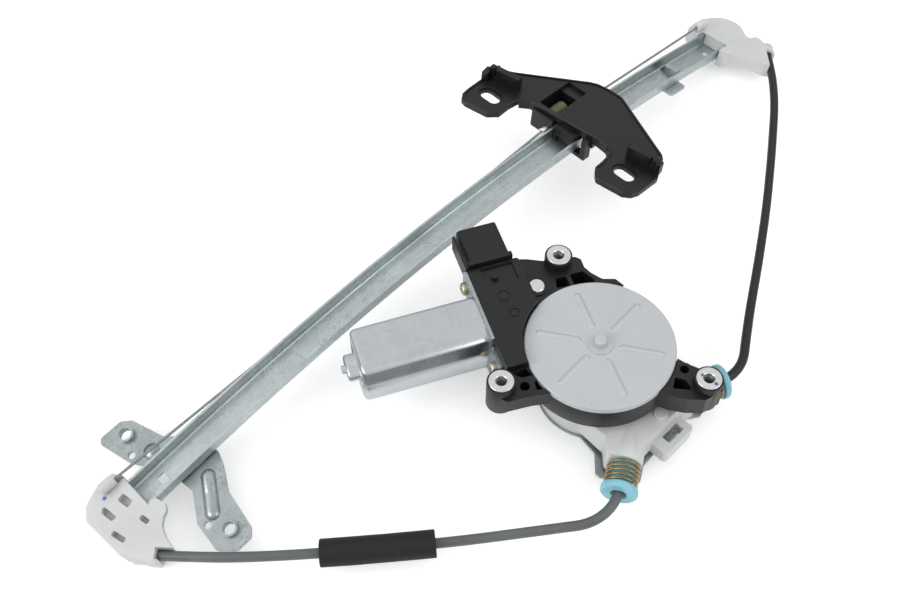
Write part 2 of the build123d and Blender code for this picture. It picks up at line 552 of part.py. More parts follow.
def worm_wheel():
    blank = Cylinder(PITCH_RADIUS + 0.9 * GEAR_MODULE, WHEEL_WIDTH)
    blank -= Pos(0, 0, WHEEL_WIDTH / 2) * ring(DAMPER_RADIUS + 0.2, WHEEL_BORE + 2.0, -5.0, 1)
    blank -= Cylinder(WHEEL_BORE, 30)
    for i in range(3):
        blank += Rot(0, 0, 120 * i + 30) * box(12, 21.4, -1.6, 1.6, -WHEEL_WIDTH / 2, WHEEL_WIDTH / 2 - 0.6)
    face = make_face(gear_tooth_space(GEAR_MODULE, WHEEL_TEETH, TOOTH_GAP))
    space = extrude(face, WHEEL_WIDTH, both=True)
    space = Pos(PITCH_RADIUS, 0, 0) * Rot(-LEAD_ANGLE, 0, 0) * Pos(-PITCH_RADIUS, 0, 0) * space
    step = 360 / WHEEL_TEETH
    blank -= [Rot(0, 0, i * step) * space for i in range(WHEEL_TEETH)]
    return Pos(0, 0, WORM_Z) * Rot(0, 0, MOTOR_ANGLE + 90 + WHEEL_PHASE) * blank


def wheel_damper():
    body = ring(DAMPER_RADIUS - 0.3, WHEEL_BORE + 2.5, 0, 4.5)
    for i in range(3):
        body -= Rot(0, 0, 120 * i + 30) * box(8, 30, -2.1, 2.1, -1, 9)
        body -= Rot(0, 0, 120 * i + 90) * box(8, 30, -2.1, 2.1, 1.2, 9)
    return Pos(0, 0, WORM_Z + WHEEL_WIDTH / 2 - 5.0 + 0.1) * Rot(0, 0, MOTOR_ANGLE + 90 + WHEEL_PHASE) * body


def drive_plate():
    """Steel plate that takes the turn from the damper to the output shaft."""
    top = WORM_Z + WHEEL_WIDTH / 2 + 0.3
    body = Pos(0, 0, top) * Cylinder(18.0, 1.6, align=BOTTOM)
    for i in range(3):
        body += Rot(0, 0, 120 * i + 90) * Pos(0, 0, top - 3.0) * box(12.5, 17.5, -1.8, 1.8, 0, 3.2)
        body -= Rot(0, 0, 120 * i + 30) * Pos(13, 0, top) * Cylinder(2.6, 10)
    body -= Cylinder(OUTPUT_RADIUS - 0.6, 200)
    return Rot(0, 0, MOTOR_ANGLE + 90 + WHEEL_PHASE) * body


def output_shaft():
    top = WORM_Z + WHEEL_WIDTH / 2 + 4.4
    body = Pos(0, 0, PLATE_Z - 2.5) * Cylinder(OUTPUT_RADIUS, top - 4.3 - PLATE_Z + 2.5, align=BOTTOM)
    body += Pos(0, 0, PLATE_Z) * Cylinder(OUTPUT_RADIUS - 0.6, top - PLATE_Z, align=BOTTOM)
    # flats that drive the drum
    for side in (-1, 1):
        body -= box(side * (OUTPUT_RADIUS + 1) - 2, side * (OUTPUT_RADIUS + 1) + 2, -9, 9,
                    PLATE_Z - 5, DRUM_TOP)
    return body


def cable_drum():
    half = DRUM_HEIGHT / 2
    body = Cylinder(DRUM_RADIUS + 1.0, DRUM_HEIGHT)
    groove = CABLE_DIAMETER / 2 + 0.15
    for k in (-1.5, -0.5, 0.5, 1.5):
        body -= Pos(0, 0, k * CABLE_STEP * 0.75) * Torus(DRUM_RADIUS + 0.55, groove)
    body -= Pos(0, 0, half) * ring(DRUM_RADIUS - 3.0, OUTPUT_RADIUS + 4.0, -5.0, 1)
    body -= Pos(0, 0, -half) * ring(DRUM_RADIUS - 3.0, OUTPUT_RADIUS + 4.0, -1, 4.0)
    for i in range(6):
        body += Rot(0, 0, 60 * i) * box(OUTPUT_RADIUS + 3, DRUM_RADIUS - 2.5, -0.9, 0.9, -half + 0.5, half - 0.5)
    bore = Cylinder(OUTPUT_RADIUS + 0.02, 60) & Box(2 * (OUTPUT_RADIUS - 0.98), 60, 60)
    return Pos(0, 0, DRUM_MID_Z) * (body - bore)


def cable_turns():
    """Turns of the two cables that lie in the drum's grooves."""
    body = [Pos(0, 0, DRUM_MID_Z + k * CABLE_STEP * 0.75) * Torus(DRUM_RADIUS + 0.55, CABLE_DIAMETER / 2)
            for k in (-1.5, -0.5, 0.5, 1.5)]
    return Compound(children=body)


# ------------------------------------------------------------------------ adjusters
def neck_frame(angle, side):
    """Frame on a cable's tangent to the drum: +X along the cable, away from the drum."""
    foot = polar(DRUM_RADIUS, angle + side * 90, DRUM_MID_Z + side * CABLE_STEP / 2)
    return Pos(*foot) * Rot(0, 0, angle)


LOWER_NECK = neck_frame(LOWER_NECK_ANGLE, 1)
UPPER_NECK = neck_frame(UPPER_NECK_ANGLE, -1)


def turned(profile):
    """Solid turned about a neck's axis from a half profile (along, radius)."""
    return revolve(Plane.XZ * make_face(Polyline(*profile, close=True)), Axis.X)


def adjuster_sleeve(neck):
    start, bore = NECK_REACH - SLEEVE_DEPTH, CONDUIT_DIAMETER / 2 + 0.1
    body = turned([(start, bore), (start, SLEEVE_RADIUS), (FLANGE_REACH - SLEEVE_FLANGE, SLEEVE_RADIUS),
                   (FLANGE_REACH - SLEEVE_FLANGE, FLANGE_RADIUS), (FLANGE_REACH - 0.8, FLANGE_RADIUS),
                   (FLANGE_REACH, FLANGE_RADIUS - 0.8), (FLANGE_REACH, bore + 1.4), (FLANGE_REACH - SLEEVE_FLARE - 1.0, bore)])
    return neck * body


def adjuster_spring(neck):
    start, end = NECK_REACH + SPRING_WIRE / 2, FLANGE_REACH - SLEEVE_FLANGE - SPRING_WIRE / 2
    path = Helix((end - start - 0.1) / SPRING_TURNS, end - start - 0.1, SPRING_RADIUS)
    wire = sweep(Plane(origin=path @ 0, z_dir=path % 0) * Circle(SPRING_WIRE / 2), path=path, is_frenet=True)
    return neck * Pos(start + 0.05, 0, 0) * Rot(0, 90, 0) * wire


def drum_housing():
    outer = DRUM_RADIUS + 1.0 + HOUSING_GAP + HOUSING_WALL
    top, bottom = BOWL_FLOOR_Z, PLATE_Z + PLATE_SHEET
    body = Pos(0, 0, bottom) * Cylinder(outer, top - bottom, align=BOTTOM)
    hollow = Pos(0, 0, bottom) * Cylinder(outer - HOUSING_WALL, top - bottom - 2.0, align=BOTTOM)
    # wedge that carries the two necks, on the side away from the motor
    wedge = make_face(Polyline((8, -24), (28, -25), (34, -31), (46, -24), (43.5, -17), (43, 12),
                               (46, 22), (36, 30), (18, 20), close=True))
    body += Pos(0, 0, bottom + 3) * extrude(fillet(wedge.vertices(), 2.5), top - bottom - 5)
    for neck in (LOWER_NECK, UPPER_NECK):
        body += neck * turned([(8, 0), (8, NECK_RADIUS - 1.5), (26, NECK_RADIUS - 1.0), (NECK_REACH - 6, NECK_RADIUS),
                               (NECK_REACH, NECK_RADIUS), (NECK_REACH, 0)])
    body &= Pos(0, 0, bottom) * Cylinder(90, top - bottom, align=BOTTOM)
    body -= hollow
    for neck in (LOWER_NECK, UPPER_NECK):
        body -= neck * Rot(0, 90, 0) * Pos(0, 0, NECK_REACH - SLEEVE_DEPTH - 0.2) * Cylinder(
            SLEEVE_RADIUS + SLEEVE_GAP, 40, align=BOTTOM)
        body -= neck * Rot(0, 90, 0) * Cylinder(CONDUIT_DIAMETER / 2 + 0.6, NECK_REACH, align=BOTTOM)
        # room for the spring and the sleeve's flange, outside the neck
        body -= neck * Rot(0, 90, 0) * Pos(0, 0, NECK_REACH) * Cylinder(FLANGE_RADIUS + SLEEVE_GAP, 40, align=BOTTOM)
    # loop that snaps over the steel plate's tab
    loop = box(41.0, 52.0, -7.5, 13.5, PLATE_Z + 3.0, PLATE_Z + 11.0)
    loop = fillet(loop.edges().filter_by(Axis.Z), 2.0)
    body += loop - box(44.0, 49.0, -1.5, 9.5, PLATE_Z, PLATE_Z + 20)
    body += Pos(38.5, 2.5, top - 6) * Cylinder(3.2, 6, align=BOTTOM)
    body -= Cylinder(OUTPUT_RADIUS + 4.0, 200)
    return body


def back_plate():
    face = make_face(Polyline((-9.6, -24.4), (9.9, -23.6), (24.5, -26), (32, -34), (35, -34), (50.3, -22.9),
                              (45.5, -14.4), (45.0, -6.2), (43.5, 19.7), (48.5, 27.0), (40, 33), (20, 26), close=True))
    face = fillet(face.vertices(), 2.0) + Circle(DRUM_RADIUS + HOUSING_GAP + HOUSING_WALL + 1.8)
    body = Pos(0, 0, PLATE_Z) * extrude(face, PLATE_SHEET)
    body += box(45.4, 47.2, 0.0, 8.0, PLATE_Z, PLATE_Z + 9.5)
    body -= Pos(0, 0, PLATE_Z) * Cylinder(OUTPUT_RADIUS + 0.05, 20)
    for angle in (100, 220, 340):
        body -= Pos(*polar(14.0, angle, PLATE_Z)) * Cylinder(3.0, 9)
    return body


# ------------------------------------------------------------------------ gear case
def boss_place(i):
    return Pos(*polar(BOSS_CIRCLE, BOSS_ANGLES[i]))


SLAB = (-46.9, -20.0, -1.0, 58.0)      # brush housing, in the motor's frame
SLAB_TOP = -0.4
SLAB_BOTTOM = -31.8
WORM_TUNNEL = 5.6
SHAFT_END = 20.0           # far end of the worm shaft, past the drum's axis


def arm(points, top, bottom, pockets, holes=()):
    """Ribbed arm from the bowl to a boss: open on top, with webs between pockets."""
    face = make_face(Polyline(*points, close=True))
    body = Pos(0, 0, bottom) * extrude(face, top - bottom)
    for pocket in pockets:
        hole = make_face(Polyline(*pocket, close=True))
        body -= Pos(0, 0, bottom + CASE_WALL) * extrude(fillet(hole.vertices(), 0.8), 40)
    for x, y, r in holes:
        body += Pos(x, y, bottom) * Cylinder(r + 1.6, top - bottom, align=BOTTOM)
        body -= Pos(x, y, bottom + CASE_WALL) * Cylinder(r, 40, align=BOTTOM)
    return body


def gear_case():
    rim = COVER_TOP_Z - COVER_SHEET
    shoulder = COVER_TOP_Z - COVER_SKIRT - 0.2
    bowl = Pos(0, 0, BOWL_STEP_Z) * Cylinder(COVER_RADIUS - COVER_SHEET - 0.1, rim - BOWL_STEP_Z, align=BOTTOM)
    bowl += Pos(0, 0, BOWL_STEP_Z) * Cylinder(COVER_RADIUS, shoulder - BOWL_STEP_Z, align=BOTTOM)
    bowl += Pos(0, 0, BOWL_FLOOR_Z) * Cylinder(COVER_RADIUS - 3.5, BOWL_STEP_Z - BOWL_FLOOR_Z, align=BOTTOM)
    around = Pos(0, 0, shoulder) * Cylinder(COVER_RADIUS + 0.5, 30, align=BOTTOM)
    # arms, in the motor's frame
    low = -BOSS_HEIGHT - INSERT_LIP
    arm_a = arm([(-24, 26), (-24, 57), (-19.5, 60.6), (-15, 59.2), (-7.2, 55.4), (-4.5, 57), (4.5, 53.5), (8.6, 53.0),
                 (10.9, 50.6), (10.6, 45.5), (12.6, 41.0), (16.0, 36.5), (24, 26), (0, 30)], -6.0, low,
                [[(-7, 37.8), (0, 37.2), (0, 43), (-5.5, 43.5)], [(2, 37), (13, 35.5), (9, 43.5), (2, 43.5)]])
    arm_b = arm([(-30, 18), (-41.5, 1.0), (-55.5, -2.0), (-58, -10), (-52, -15.8), (-40, -16.4), (-30, -18), (-20, -28),
                 (-14, -10)], -5.0, ARM_B_BOTTOM,
                [[(-44.5, -2.8), (-38.0, -1.2), (-35.8, -6.0), (-41, -5.7)],
                 [(-36.6, -9.0), (-34.0, -10.0), (-32.5, -14.4), (-37.0, -14.2)]],
                ((-41.6, -10.4, 2.4),))
    arm_c = arm([(30, -12), (31.6, -18.6), (34.0, -22.0), (38.6, -26.6), (45, -31.5), (44, -41.0), (34.5, -43.2),
                 (26.7, -40.4), (20.0, -36.4), (14, -31), (10, -10)], -5.0, low + 1.0,
                [[(36.2, -28.0), (40.3, -31.5), (36, -33.8), (34.0, -31.0)],
                 [(26.0, -27.5), (30.0, -30.5), (30.8, -36.5), (22.5, -32.8)]],
                ((32.0, -25.0, 2.2),))
    # housing of the worm, and of the brushes behind the flange
    x0, x1, y0, y1 = SLAB
    slab = box(x0, x1, y0, y1, -22.0, SLAB_TOP)
    slab = fillet(slab.edges().filter_by(Axis.Z), 1.5)
    slab = chamfer(slab.faces().sort_by(Axis.Z)[-1].edges(), 0.4)
    slab -= box(x0 + 6.5, x1 - 4.0, SLAB_STEP_Y, y1 - 2.0, SLAB_TOP - 1.0, SLAB_TOP + 1)
    slab += Pos(*PEG, SLAB_TOP - 1.5) * Cylinder(1.8, 2.4, align=BOTTOM)
    for x, y, r in SLAB_RINGS:
        slab -= Pos(x, y, SLAB_TOP) * ring(r, r - 0.7, -0.4, 1)
    slab += box(x0, x0 + 14, y0 + 15.0, y1 - 8.0, SLAB_BOTTOM, -20)
    worm = rod(WORM_TUNNEL + 1.6, (x1 - 1, WORM_OFFSET, WORM_Z), (SHAFT_END + 2.4, WORM_OFFSET, WORM_Z))
    worm = chamfer(worm.faces().sort_by(Axis.X)[-1].edges(), 2.0)
    worm += box(x1 - 1, SHAFT_END - 2, 20, WORM_OFFSET + 5.0, BOWL_FLOOR_Z, -12.0)
    ear = make_face(Polyline((15.0, 30.0), (17.7, 38.7), (24.0, 36.6), (26.4, 31.8), (22.0, 26.0), close=True))
    worm += Pos(0, 0, -16.0) * extrude(ear, 6.0)
    x, y, z = RIVET
    collar = Pos(x, y, 0) * ring(5.6, 4.2, z - 2.0, z - 0.4)
    body = bowl + (MOTOR * (arm_a + arm_b + arm_c + slab + worm + collar) - around)
    for i in range(3):
        body += boss_place(i) * Pos(0, 0, low) * Cylinder(BOSS_RADIUS, BOSS_HEIGHT, align=BOTTOM)
        body -= boss_place(i) * Pos(0, 0, -INSERT_LENGTH - INSERT_GAP) * Cylinder(INSERT_BODY, 30, align=BOTTOM)
    # cavities: wheel, worm, commutator, shaft
    body -= Pos(0, 0, WORM_Z - WHEEL_WIDTH / 2 - 0.6) * Cylinder(PITCH_RADIUS + 2.6, 40, align=BOTTOM)
    body -= MOTOR * rod(WORM_TUNNEL, (-30, WORM_OFFSET, WORM_Z), (SHAFT_END, WORM_OFFSET, WORM_Z))
    body -= MOTOR * rod(10.5, (x0 - 1, WORM_OFFSET, WORM_Z), (-30, WORM_OFFSET, WORM_Z))
    body -= Cylinder(OUTPUT_RADIUS + 3.0, 200)
    for y, z in FLANGE_SCREWS:
        body -= MOTOR * rod(1.6, (x0 - 1, y, z), (x0 + 9, y, z))
    body -= MOTOR * Pos(*RIVET) * Cylinder(2.6, 60, align=TOP)
    return body


ARM_B_BOTTOM = -14.0       # underside of the arm beside the can
SLAB_STEP_Y = 45.0         # sunk field beside the connector
PEG = (-35.0, 50.0)
SLAB_RINGS = ((-34.6, 37.6, 3.2), (-33.2, 27.0, 2.6))
FLANGE_SCREWS = ((10.0, -16.5), (53.5, -9.0))
RIVET = (-16.0, 41.6, -5.0)


def gear_cover():
    """Pressed steel cover: skirt, six radial beads and a raised middle."""
    body = Pos(0, 0, COVER_TOP_Z) * Cylinder(COVER_RADIUS, COVER_SKIRT, align=TOP)
    body = fillet(body.edges().group_by(Axis.Z)[-1], 0.8)
    body -= Pos(0, 0, COVER_TOP_Z - COVER_SHEET) * Cylinder(COVER_RADIUS - COVER_SHEET, 10, align=TOP)
    for i in range(6):
        turn = Rot(0, 0, 33 + 60 * i) * Pos(0, 0, COVER_TOP_Z - 1.2)
        bead = rod(2.0, (10.5, 0, 0), (29.0, 0, 0)) + Pos(10.5, 0, 0) * Sphere(2.0) + Pos(29, 0, 0) * Sphere(2.0)
        body += turn * (bead & box(0, 40, -5, 5, 0.4, 5))
        body -= turn * Pos(0, 0, -0.9) * bead & Pos(0, 0, COVER_TOP_Z - COVER_SHEET) * Cylinder(60, 5, align=BOTTOM)
    body += ring(6.2, 0.01, COVER_TOP_Z - COVER_SHEET, COVER_TOP_Z + 0.5)
    return body - Cylinder(PIN_RADIUS, 40)


def centre_pin():
    top = WORM_Z + WHEEL_WIDTH / 2 + 4.4
    body = Pos(0, 0, COVER_TOP_Z - COVER_SHEET - 1.5) * Cylinder(PIN_RADIUS + 1.5, 1.5, align=BOTTOM)
    body += Pos(0, 0, COVER_TOP_Z - COVER_SHEET) * Cylinder(PIN_RADIUS, -COVER_TOP_Z + COVER_SHEET, align=BOTTOM)
    return chamfer(body.edges().group_by(Axis.Z)[-1], 0.5)


def threaded_inserts():
    solids = []
    for i in range(3):
        insert = Cylinder(INSERT_RADIUS, INSERT_LIP, align=TOP)
        insert += Cylinder(INSERT_BODY, INSERT_LENGTH, align=TOP)
        insert -= Cylinder(INSERT_THREAD_RADIUS, 90)
        top = insert.faces().sort_by(Axis.Z)[-1]
        insert = chamfer(top.edges().sort_by(SortBy.LENGTH)[0], INSERT_CHAMFER)
        insert = chamfer(insert.edges().filter_by(GeomType.CIRCLE).sort_by(Axis.Z)[-1:], 0.2)
        solids.append(boss_place(i) * insert)
    return Compound(children=solids)


def case_rivet():
    x, y, z = RIVET
    body = Pos(x, y, z - 0.9) * (Cylinder(4.0, 1.2, align=BOTTOM) + Cylinder(2.5, 14, align=TOP))
    return MOTOR * chamfer(body.edges().group_by(Axis.Z)[-1], 0.4)


# ---------------------------------------------------------------------------- motor
def can_section(width, height, corner):
    return RectangleRounded(width, height, corner)


def along_motor(section, start, end, x=None):
    """Extrusion along the motor's axis from start to end."""
    place = Plane(origin=(start, WORM_OFFSET, WORM_Z), x_dir=(0, 1, 0), z_dir=(1, 0, 0))
    return extrude(place * section, end - start)


def motor_can():
    body = along_motor(can_section(CAN_WIDTH, CAN_HEIGHT, CAN_CORNER), CAN_START, CAN_END)
    body = fillet(body.faces().sort_by(Axis.X)[0].edges(), 2.5)
    body -= along_motor(can_section(CAN_WIDTH - 2 * CAN_SHEET, CAN_HEIGHT - 2 * CAN_SHEET, CAN_CORNER - CAN_SHEET),
                        CAN_START + CAN_SHEET, CAN_END)
    hub = rod(6.6, (CAN_START - 5.5, WORM_OFFSET, WORM_Z), (CAN_START + 1, WORM_OFFSET, WORM_Z))
    hub = fillet(hub.faces().sort_by(Axis.X)[0].edges(), 1.2)
    nub = rod(2.0, (CAN_START - 7.5, WORM_OFFSET, WORM_Z), (CAN_START - 5, WORM_OFFSET, WORM_Z))
    body += hub + nub
    body -= rod(5.0, (CAN_START - 4.3, WORM_OFFSET, WORM_Z), (CAN_START + 3, WORM_OFFSET, WORM_Z))
    return MOTOR * body


def end_bearing():
    body = rod(4.95, (CAN_START - 4.2, WORM_OFFSET, WORM_Z), (CAN_START + 1.4, WORM_OFFSET, WORM_Z))
    return MOTOR * (body - rod(SHAFT_RADIUS + 0.03, (CAN_START - 9, WORM_OFFSET, WORM_Z), (CAN_START + 9, WORM_OFFSET, WORM_Z)))


ARMATURE_RADIUS = 9.6
MAGNET_WALL = 2.3
MAGNETS = (CAN_START + 8.0, CAN_START + 46.0)


def motor_magnets():
    solids = []
    shape = can_section(CAN_WIDTH - 2 * CAN_SHEET - 0.2, CAN_HEIGHT - 2 * CAN_SHEET - 0.2, CAN_CORNER - CAN_SHEET)
    core = along_motor(shape - Circle(ARMATURE_RADIUS + 0.6), *MAGNETS)
    for side in (-1, 1):
        keep = Pos(-80, WORM_OFFSET, WORM_Z + side * 11.0) * Box(80, 40, 10)
        solids.append(MOTOR * (core & keep))
    return Compound(children=solids)


def armature_shaft():
    start = CAN_START - 4.0
    shaft = rod(SHAFT_RADIUS, (start, 0, 0), (SHAFT_END - 0.5, 0, 0))
    # one-start worm between two plain journals
    half = 12.0
    lead = pi * GEAR_MODULE
    root = WORM_PITCH - 1.05 * GEAR_MODULE
    worm = rod(root, (-half - 3, 0, 0), (half + 3, 0, 0))
    thick = lead / 2 - TOOTH_GAP / 2
    slope = tan(radians(20))
    add, ded = WORM_OUTSIDE - WORM_PITCH, WORM_PITCH - root + 0.25
    path = Helix(lead, 2 * half, WORM_PITCH)
    profile = Polyline((-ded, -thick / 2 - ded * slope), (add, -thick / 2 + add * slope),
                       (add, thick / 2 - add * slope), (-ded, thick / 2 + ded * slope), close=True)
    face = Plane(origin=path @ 0, x_dir=(1, 0, 0), z_dir=path % 0) * make_face(profile)
    thread = sweep(face, path=path, is_frenet=True)
    thread = Pos(-half, 0, 0) * Rot(0, 90, 0) * thread
    body = shaft + worm + thread
    return MOTOR * Pos(0, WORM_OFFSET, WORM_Z) * Rot(WORM_TURN, 0, 0) * body


WORM_TURN = 0.0


def armature_core():
    body = Circle(ARMATURE_RADIUS)
    for i in range(8):
        body -= Rot(0, 0, 45 * i) * Pos(7.4, 0) * Rectangle(8, 1.2)
        body -= Rot(0, 0, 45 * i) * Pos(6.6, 0) * Circle(1.9)
    body -= Circle(SHAFT_RADIUS)
    return MOTOR * along_motor(body, MAGNETS[0] + 3, MAGNETS[1] - 3)


def armature_windings():
    solids = []
    for start, end in ((MAGNETS[0] - 1.5, MAGNETS[0] + 2.95), (MAGNETS[1] - 2.95, MAGNETS[1] + 1.5)):
        head = rod(8.6, (start, WORM_OFFSET, WORM_Z), (end, WORM_OFFSET, WORM_Z))
        head = fillet(head.edges().filter_by(GeomType.CIRCLE), 1.6)
        head -= rod(SHAFT_RADIUS, (start - 1, WORM_OFFSET, WORM_Z), (end + 1, WORM_OFFSET, WORM_Z))
        solids.append(MOTOR * head)
    return Compound(children=solids)


COMMUTATOR = (-58.0, -46.0)


def commutator():
    body = Circle(5.6) - Circle(SHAFT_RADIUS)
    for i in range(8):
        body -= Rot(0, 0, 45 * i + 22.5) * Pos(5.6, 0) * Rectangle(1.6, 0.5)
    return MOTOR * along_motor(body, *COMMUTATOR)


def motor_brushes():
    solids = []
    for side in (-1, 1):
        y = WORM_OFFSET + side * 8.4
        solids.append(MOTOR * (Pos((COMMUTATOR[0] + COMMUTATOR[1]) / 2 - 1.0, y, WORM_Z) * Box(5, 5.4, 4)))
    return Compound(children=solids)


def brush_holder():
    """Plastic ring in the mouth of the can that guides the two brushes."""
    start, end = CAN_END - 12.0, CAN_END
    shape = can_section(CAN_WIDTH - 2 * CAN_SHEET - 0.2, CAN_HEIGHT - 2 * CAN_SHEET - 0.2, CAN_CORNER - CAN_SHEET)
    body = along_motor(shape - Circle(6.4), start, end)
    for side in (-1, 1):
        y = WORM_OFFSET + side * 8.7
        body -= Pos((COMMUTATOR[0] + COMMUTATOR[1]) / 2 - 1.0, y, WORM_Z) * Box(5.1, 8.0, 4.1)
    return MOTOR * body


def flange_plate():
    x0, x1 = CAN_END, CAN_END + FLANGE_THICKNESS
    body = box(x0, x1, 16.0, 47.5, SLAB_BOTTOM, SLAB_TOP)
    body += box(x0, x1, 3.5, 18, WORM_Z - 6.0, WORM_Z + 9.0) + box(x0, x1, 45, 58.0, -15.5, SLAB_TOP)
    body = fillet(body.edges().filter_by(Axis.X), 1.4)
    body -= rod(10.6, (x0 - 1, WORM_OFFSET, WORM_Z), (x1 + 1, WORM_OFFSET, WORM_Z))
    for y, z in FLANGE_SCREWS:
        body -= rod(2.1, (x0 - 1, y, z), (x1 + 1, y, z))
    return MOTOR * body


def flange_screws():
    solids = []
    for y, z in FLANGE_SCREWS:
        screw = rod(1.6, (CAN_END, y, z), (CAN_END + 10, y, z))
        head = rod(3.3, (CAN_END - 2.4, y, z), (CAN_END, y, z))
        head = fillet(head.faces().sort_by(Axis.X)[0].edges(), 1.2)
        head -= Pos(CAN_END - 2.4, y, z) * (Box(2.2, 3.6, 0.9) + Box(2.2, 0.9, 3.6))
        solids.append(MOTOR * (screw + head))
    return Compound(children=solids)


SHROUD = (-44.4, -23.6, 58.1, 81.0)
SHROUD_TOP = 1.6
SHROUD_HEIGHT = 15.0
SHROUD_WALL = 1.6


def connector_shroud():
    x0, x1, y0, y1 = SHROUD
    z0 = SHROUD_TOP - SHROUD_HEIGHT
    outer = box(x0, x1, y0, y1, z0, SHROUD_TOP)
    outer = fillet(outer.edges().filter_by(Axis.Y), 1.8)
    inner = box(x0 + SHROUD_WALL, x1 - SHROUD_WALL, y0 + 3.0, y1 + 1, z0 + SHROUD_WALL, SHROUD_TOP - SHROUD_WALL)
    body = outer - inner
    body += box(x0 - 0.8, x1 + 0.8, y0, y0 + 2.4, z0 - 0.6, SHROUD_TOP + 0.8)
    body += box(x0 - 2.6, x0 - 1.2, y0, y1 - 1.5, z0 + 3.5, SHROUD_TOP - 1.5)
    body += box(x0 - 2.0, x0 + 0.5, y0, y0 + 4.0, z0 + 3.5, SHROUD_TOP - 1.5)
    for x in terminal_places():
        body -= Pos(x, y0 + 1.5, SHROUD_TOP - SHROUD_HEIGHT / 2) * Box(0.8, 20, 2.8)
    return MOTOR * body


def terminal_places():
    middle = (SHROUD[0] + SHROUD[1]) / 2
    return (middle - 3.8, middle + 3.8)


def connector_terminals():
    solids = []
    for x in terminal_places():
        blade = Pos(x, SHROUD[2] + 7.0, SHROUD_TOP - SHROUD_HEIGHT / 2) * Box(0.8, 13.9, 2.8)
        solids.append(MOTOR * blade)
    return Compound(children=solids)


# ------------------------------------------------------------------------- conduits
def point(place):
    return tuple(place.position)


lower_socket = rail_at(LOWER_S) * Pos(LOWER_SOCKET[0], LOWER_SOCKET[1], LOWER_SOCKET_H) * Rot(0, 0, LOWER_EXIT_ANGLE)
upper_socket = rail_at(UPPER_S) * Pos(UPPER_SOCKET[0], UPPER_SOCKET[1], UPPER_SOCKET_H) * Rot(0, 0, UPPER_EXIT_ANGLE)
CONDUIT_END = 44.0         # conduits end inside the sleeves
LOWER_ROUTE = [point(lower_socket * Pos(-SOCKET_DEPTH, 0, 0)), point(lower_socket * Pos(28, 0, 0)),
               (-38.5, -166.7, -40.5), (-8.0, -131.3, -40.0), (14.0, -104.5, -39.3),
               point(LOWER_NECK * Pos(73.5, 0, 0)), point(LOWER_NECK * Pos(CONDUIT_END, 0, 0))]
UPPER_ROUTE = [point(upper_socket * Pos(-SOCKET_DEPTH, 0, 0)), point(upper_socket * Pos(28.6, 0, 0)),
               (-26.8, 184.3, -37.5), (-4.0, 147.6, -36.6), (15.0, 114.4, -36.7), (30.0, 87.0, -36.9),
               point(UPPER_NECK * Pos(70, 0, 0)), point(UPPER_NECK * Pos(CONDUIT_END, 0, 0))]


def conduit_sleeve():
    path = conduit_path(LOWER_ROUTE)
    part = path.trim(SLEEVE_START / path.length, (SLEEVE_START + SLEEVE_LENGTH) / path.length)
    start = Plane(origin=part @ 0, z_dir=part % 0)
    return sweep(start * (Circle(SLEEVE_DIAMETER / 2) - Circle(CONDUIT_DIAMETER / 2)), path=part)


# ------------------------------------------------------------------------- assembly
nodes["guide_rail"] = guide_rail()
seat = along_rail(Rectangle(RAIL_WIDTH, RAIL_DEPTH, align=(Align.CENTER, Align.MAX)), -RAIL_END, -150)
nodes["lower_bracket"] = lower_bracket() - seat
nodes["lower_guide_housing"] = knob(lower_guide_housing(), lower_entry, carrier_point(FERRULE_START), 8)
nodes["upper_guide_housing"] = knob(upper_guide_housing(), upper_entry, carrier_point(FERRULE_END), 8)
nodes["carrier_bracket"] = carrier_bracket()
nodes["slide_shoe"] = slide_shoe()
nodes["cable_buffer"] = cable_stop()
nodes["lower_cable_end"] = ferrule(FERRULE_START, POCKET[2] - 0.1)
nodes["upper_cable_end"] = ferrule(POCKET[3] + 0.1, FERRULE_END)
nodes["lower_cable_run"] = cable_run(lower_entry, carrier_point(FERRULE_START), FERRULE_START, -1)
nodes["upper_cable_run"] = cable_run(upper_entry, carrier_point(FERRULE_END), FERRULE_END, 1)
nodes["lower_conduit"] = conduit(LOWER_ROUTE, CONDUIT_DIAMETER / 2)
nodes["upper_conduit"] = conduit(UPPER_ROUTE, CONDUIT_DIAMETER / 2)
nodes["conduit_sleeve"] = conduit_sleeve()
nodes["lower_adjuster_sleeve"] = adjuster_sleeve(LOWER_NECK)
nodes["upper_adjuster_sleeve"] = adjuster_sleeve(UPPER_NECK)
nodes["lower_adjuster_spring"] = adjuster_spring(LOWER_NECK)
nodes["upper_adjuster_spring"] = adjuster_spring(UPPER_NECK)
nodes["drum_housing"] = drum_housing()
nodes["back_plate"] = back_plate()
nodes["cable_drum"] = cable_drum()
nodes["cable_turns"] = cable_turns()
nodes["output_shaft"] = output_shaft()
nodes["worm_wheel"] = worm_wheel()
nodes["wheel_damper"] = wheel_damper()
nodes["drive_plate"] = drive_plate()
nodes["gear_case"] = gear_case()
nodes["gear_cover"] = gear_cover()
nodes["centre_pin"] = centre_pin()
nodes["threaded_inserts"] = threaded_inserts()
nodes["case_rivet"] = case_rivet()
nodes["flange_plate"] = flange_plate()
nodes["flange_screws"] = flange_screws()
nodes["motor_can"] = motor_can()
nodes["end_bearing"] = end_bearing()
nodes["motor_magnets"] = motor_magnets()
nodes["armature_shaft"] = armature_shaft()
nodes["armature_core"] = armature_core()
nodes["armature_windings"] = armature_windings()
nodes["commutator"] = commutator()
nodes["motor_brushes"] = motor_brushes()
nodes["brush_holder"] = brush_holder()
nodes["connector_shroud"] = connector_shroud()
nodes["connector_terminals"] = connector_terminals()

os.makedirs("parts", exist_ok=True)
for name, solid in nodes.items():
    export_step(solid, f"parts/{name}.step")
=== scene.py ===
"""Looks of a cable window regulator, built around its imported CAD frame.

Everything is in metres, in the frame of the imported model: the origin is the top of
the drum's centre pin, +Z leaves the gear cover, +Y runs up the guide rail and +X goes
from the rail to the motor.
"""

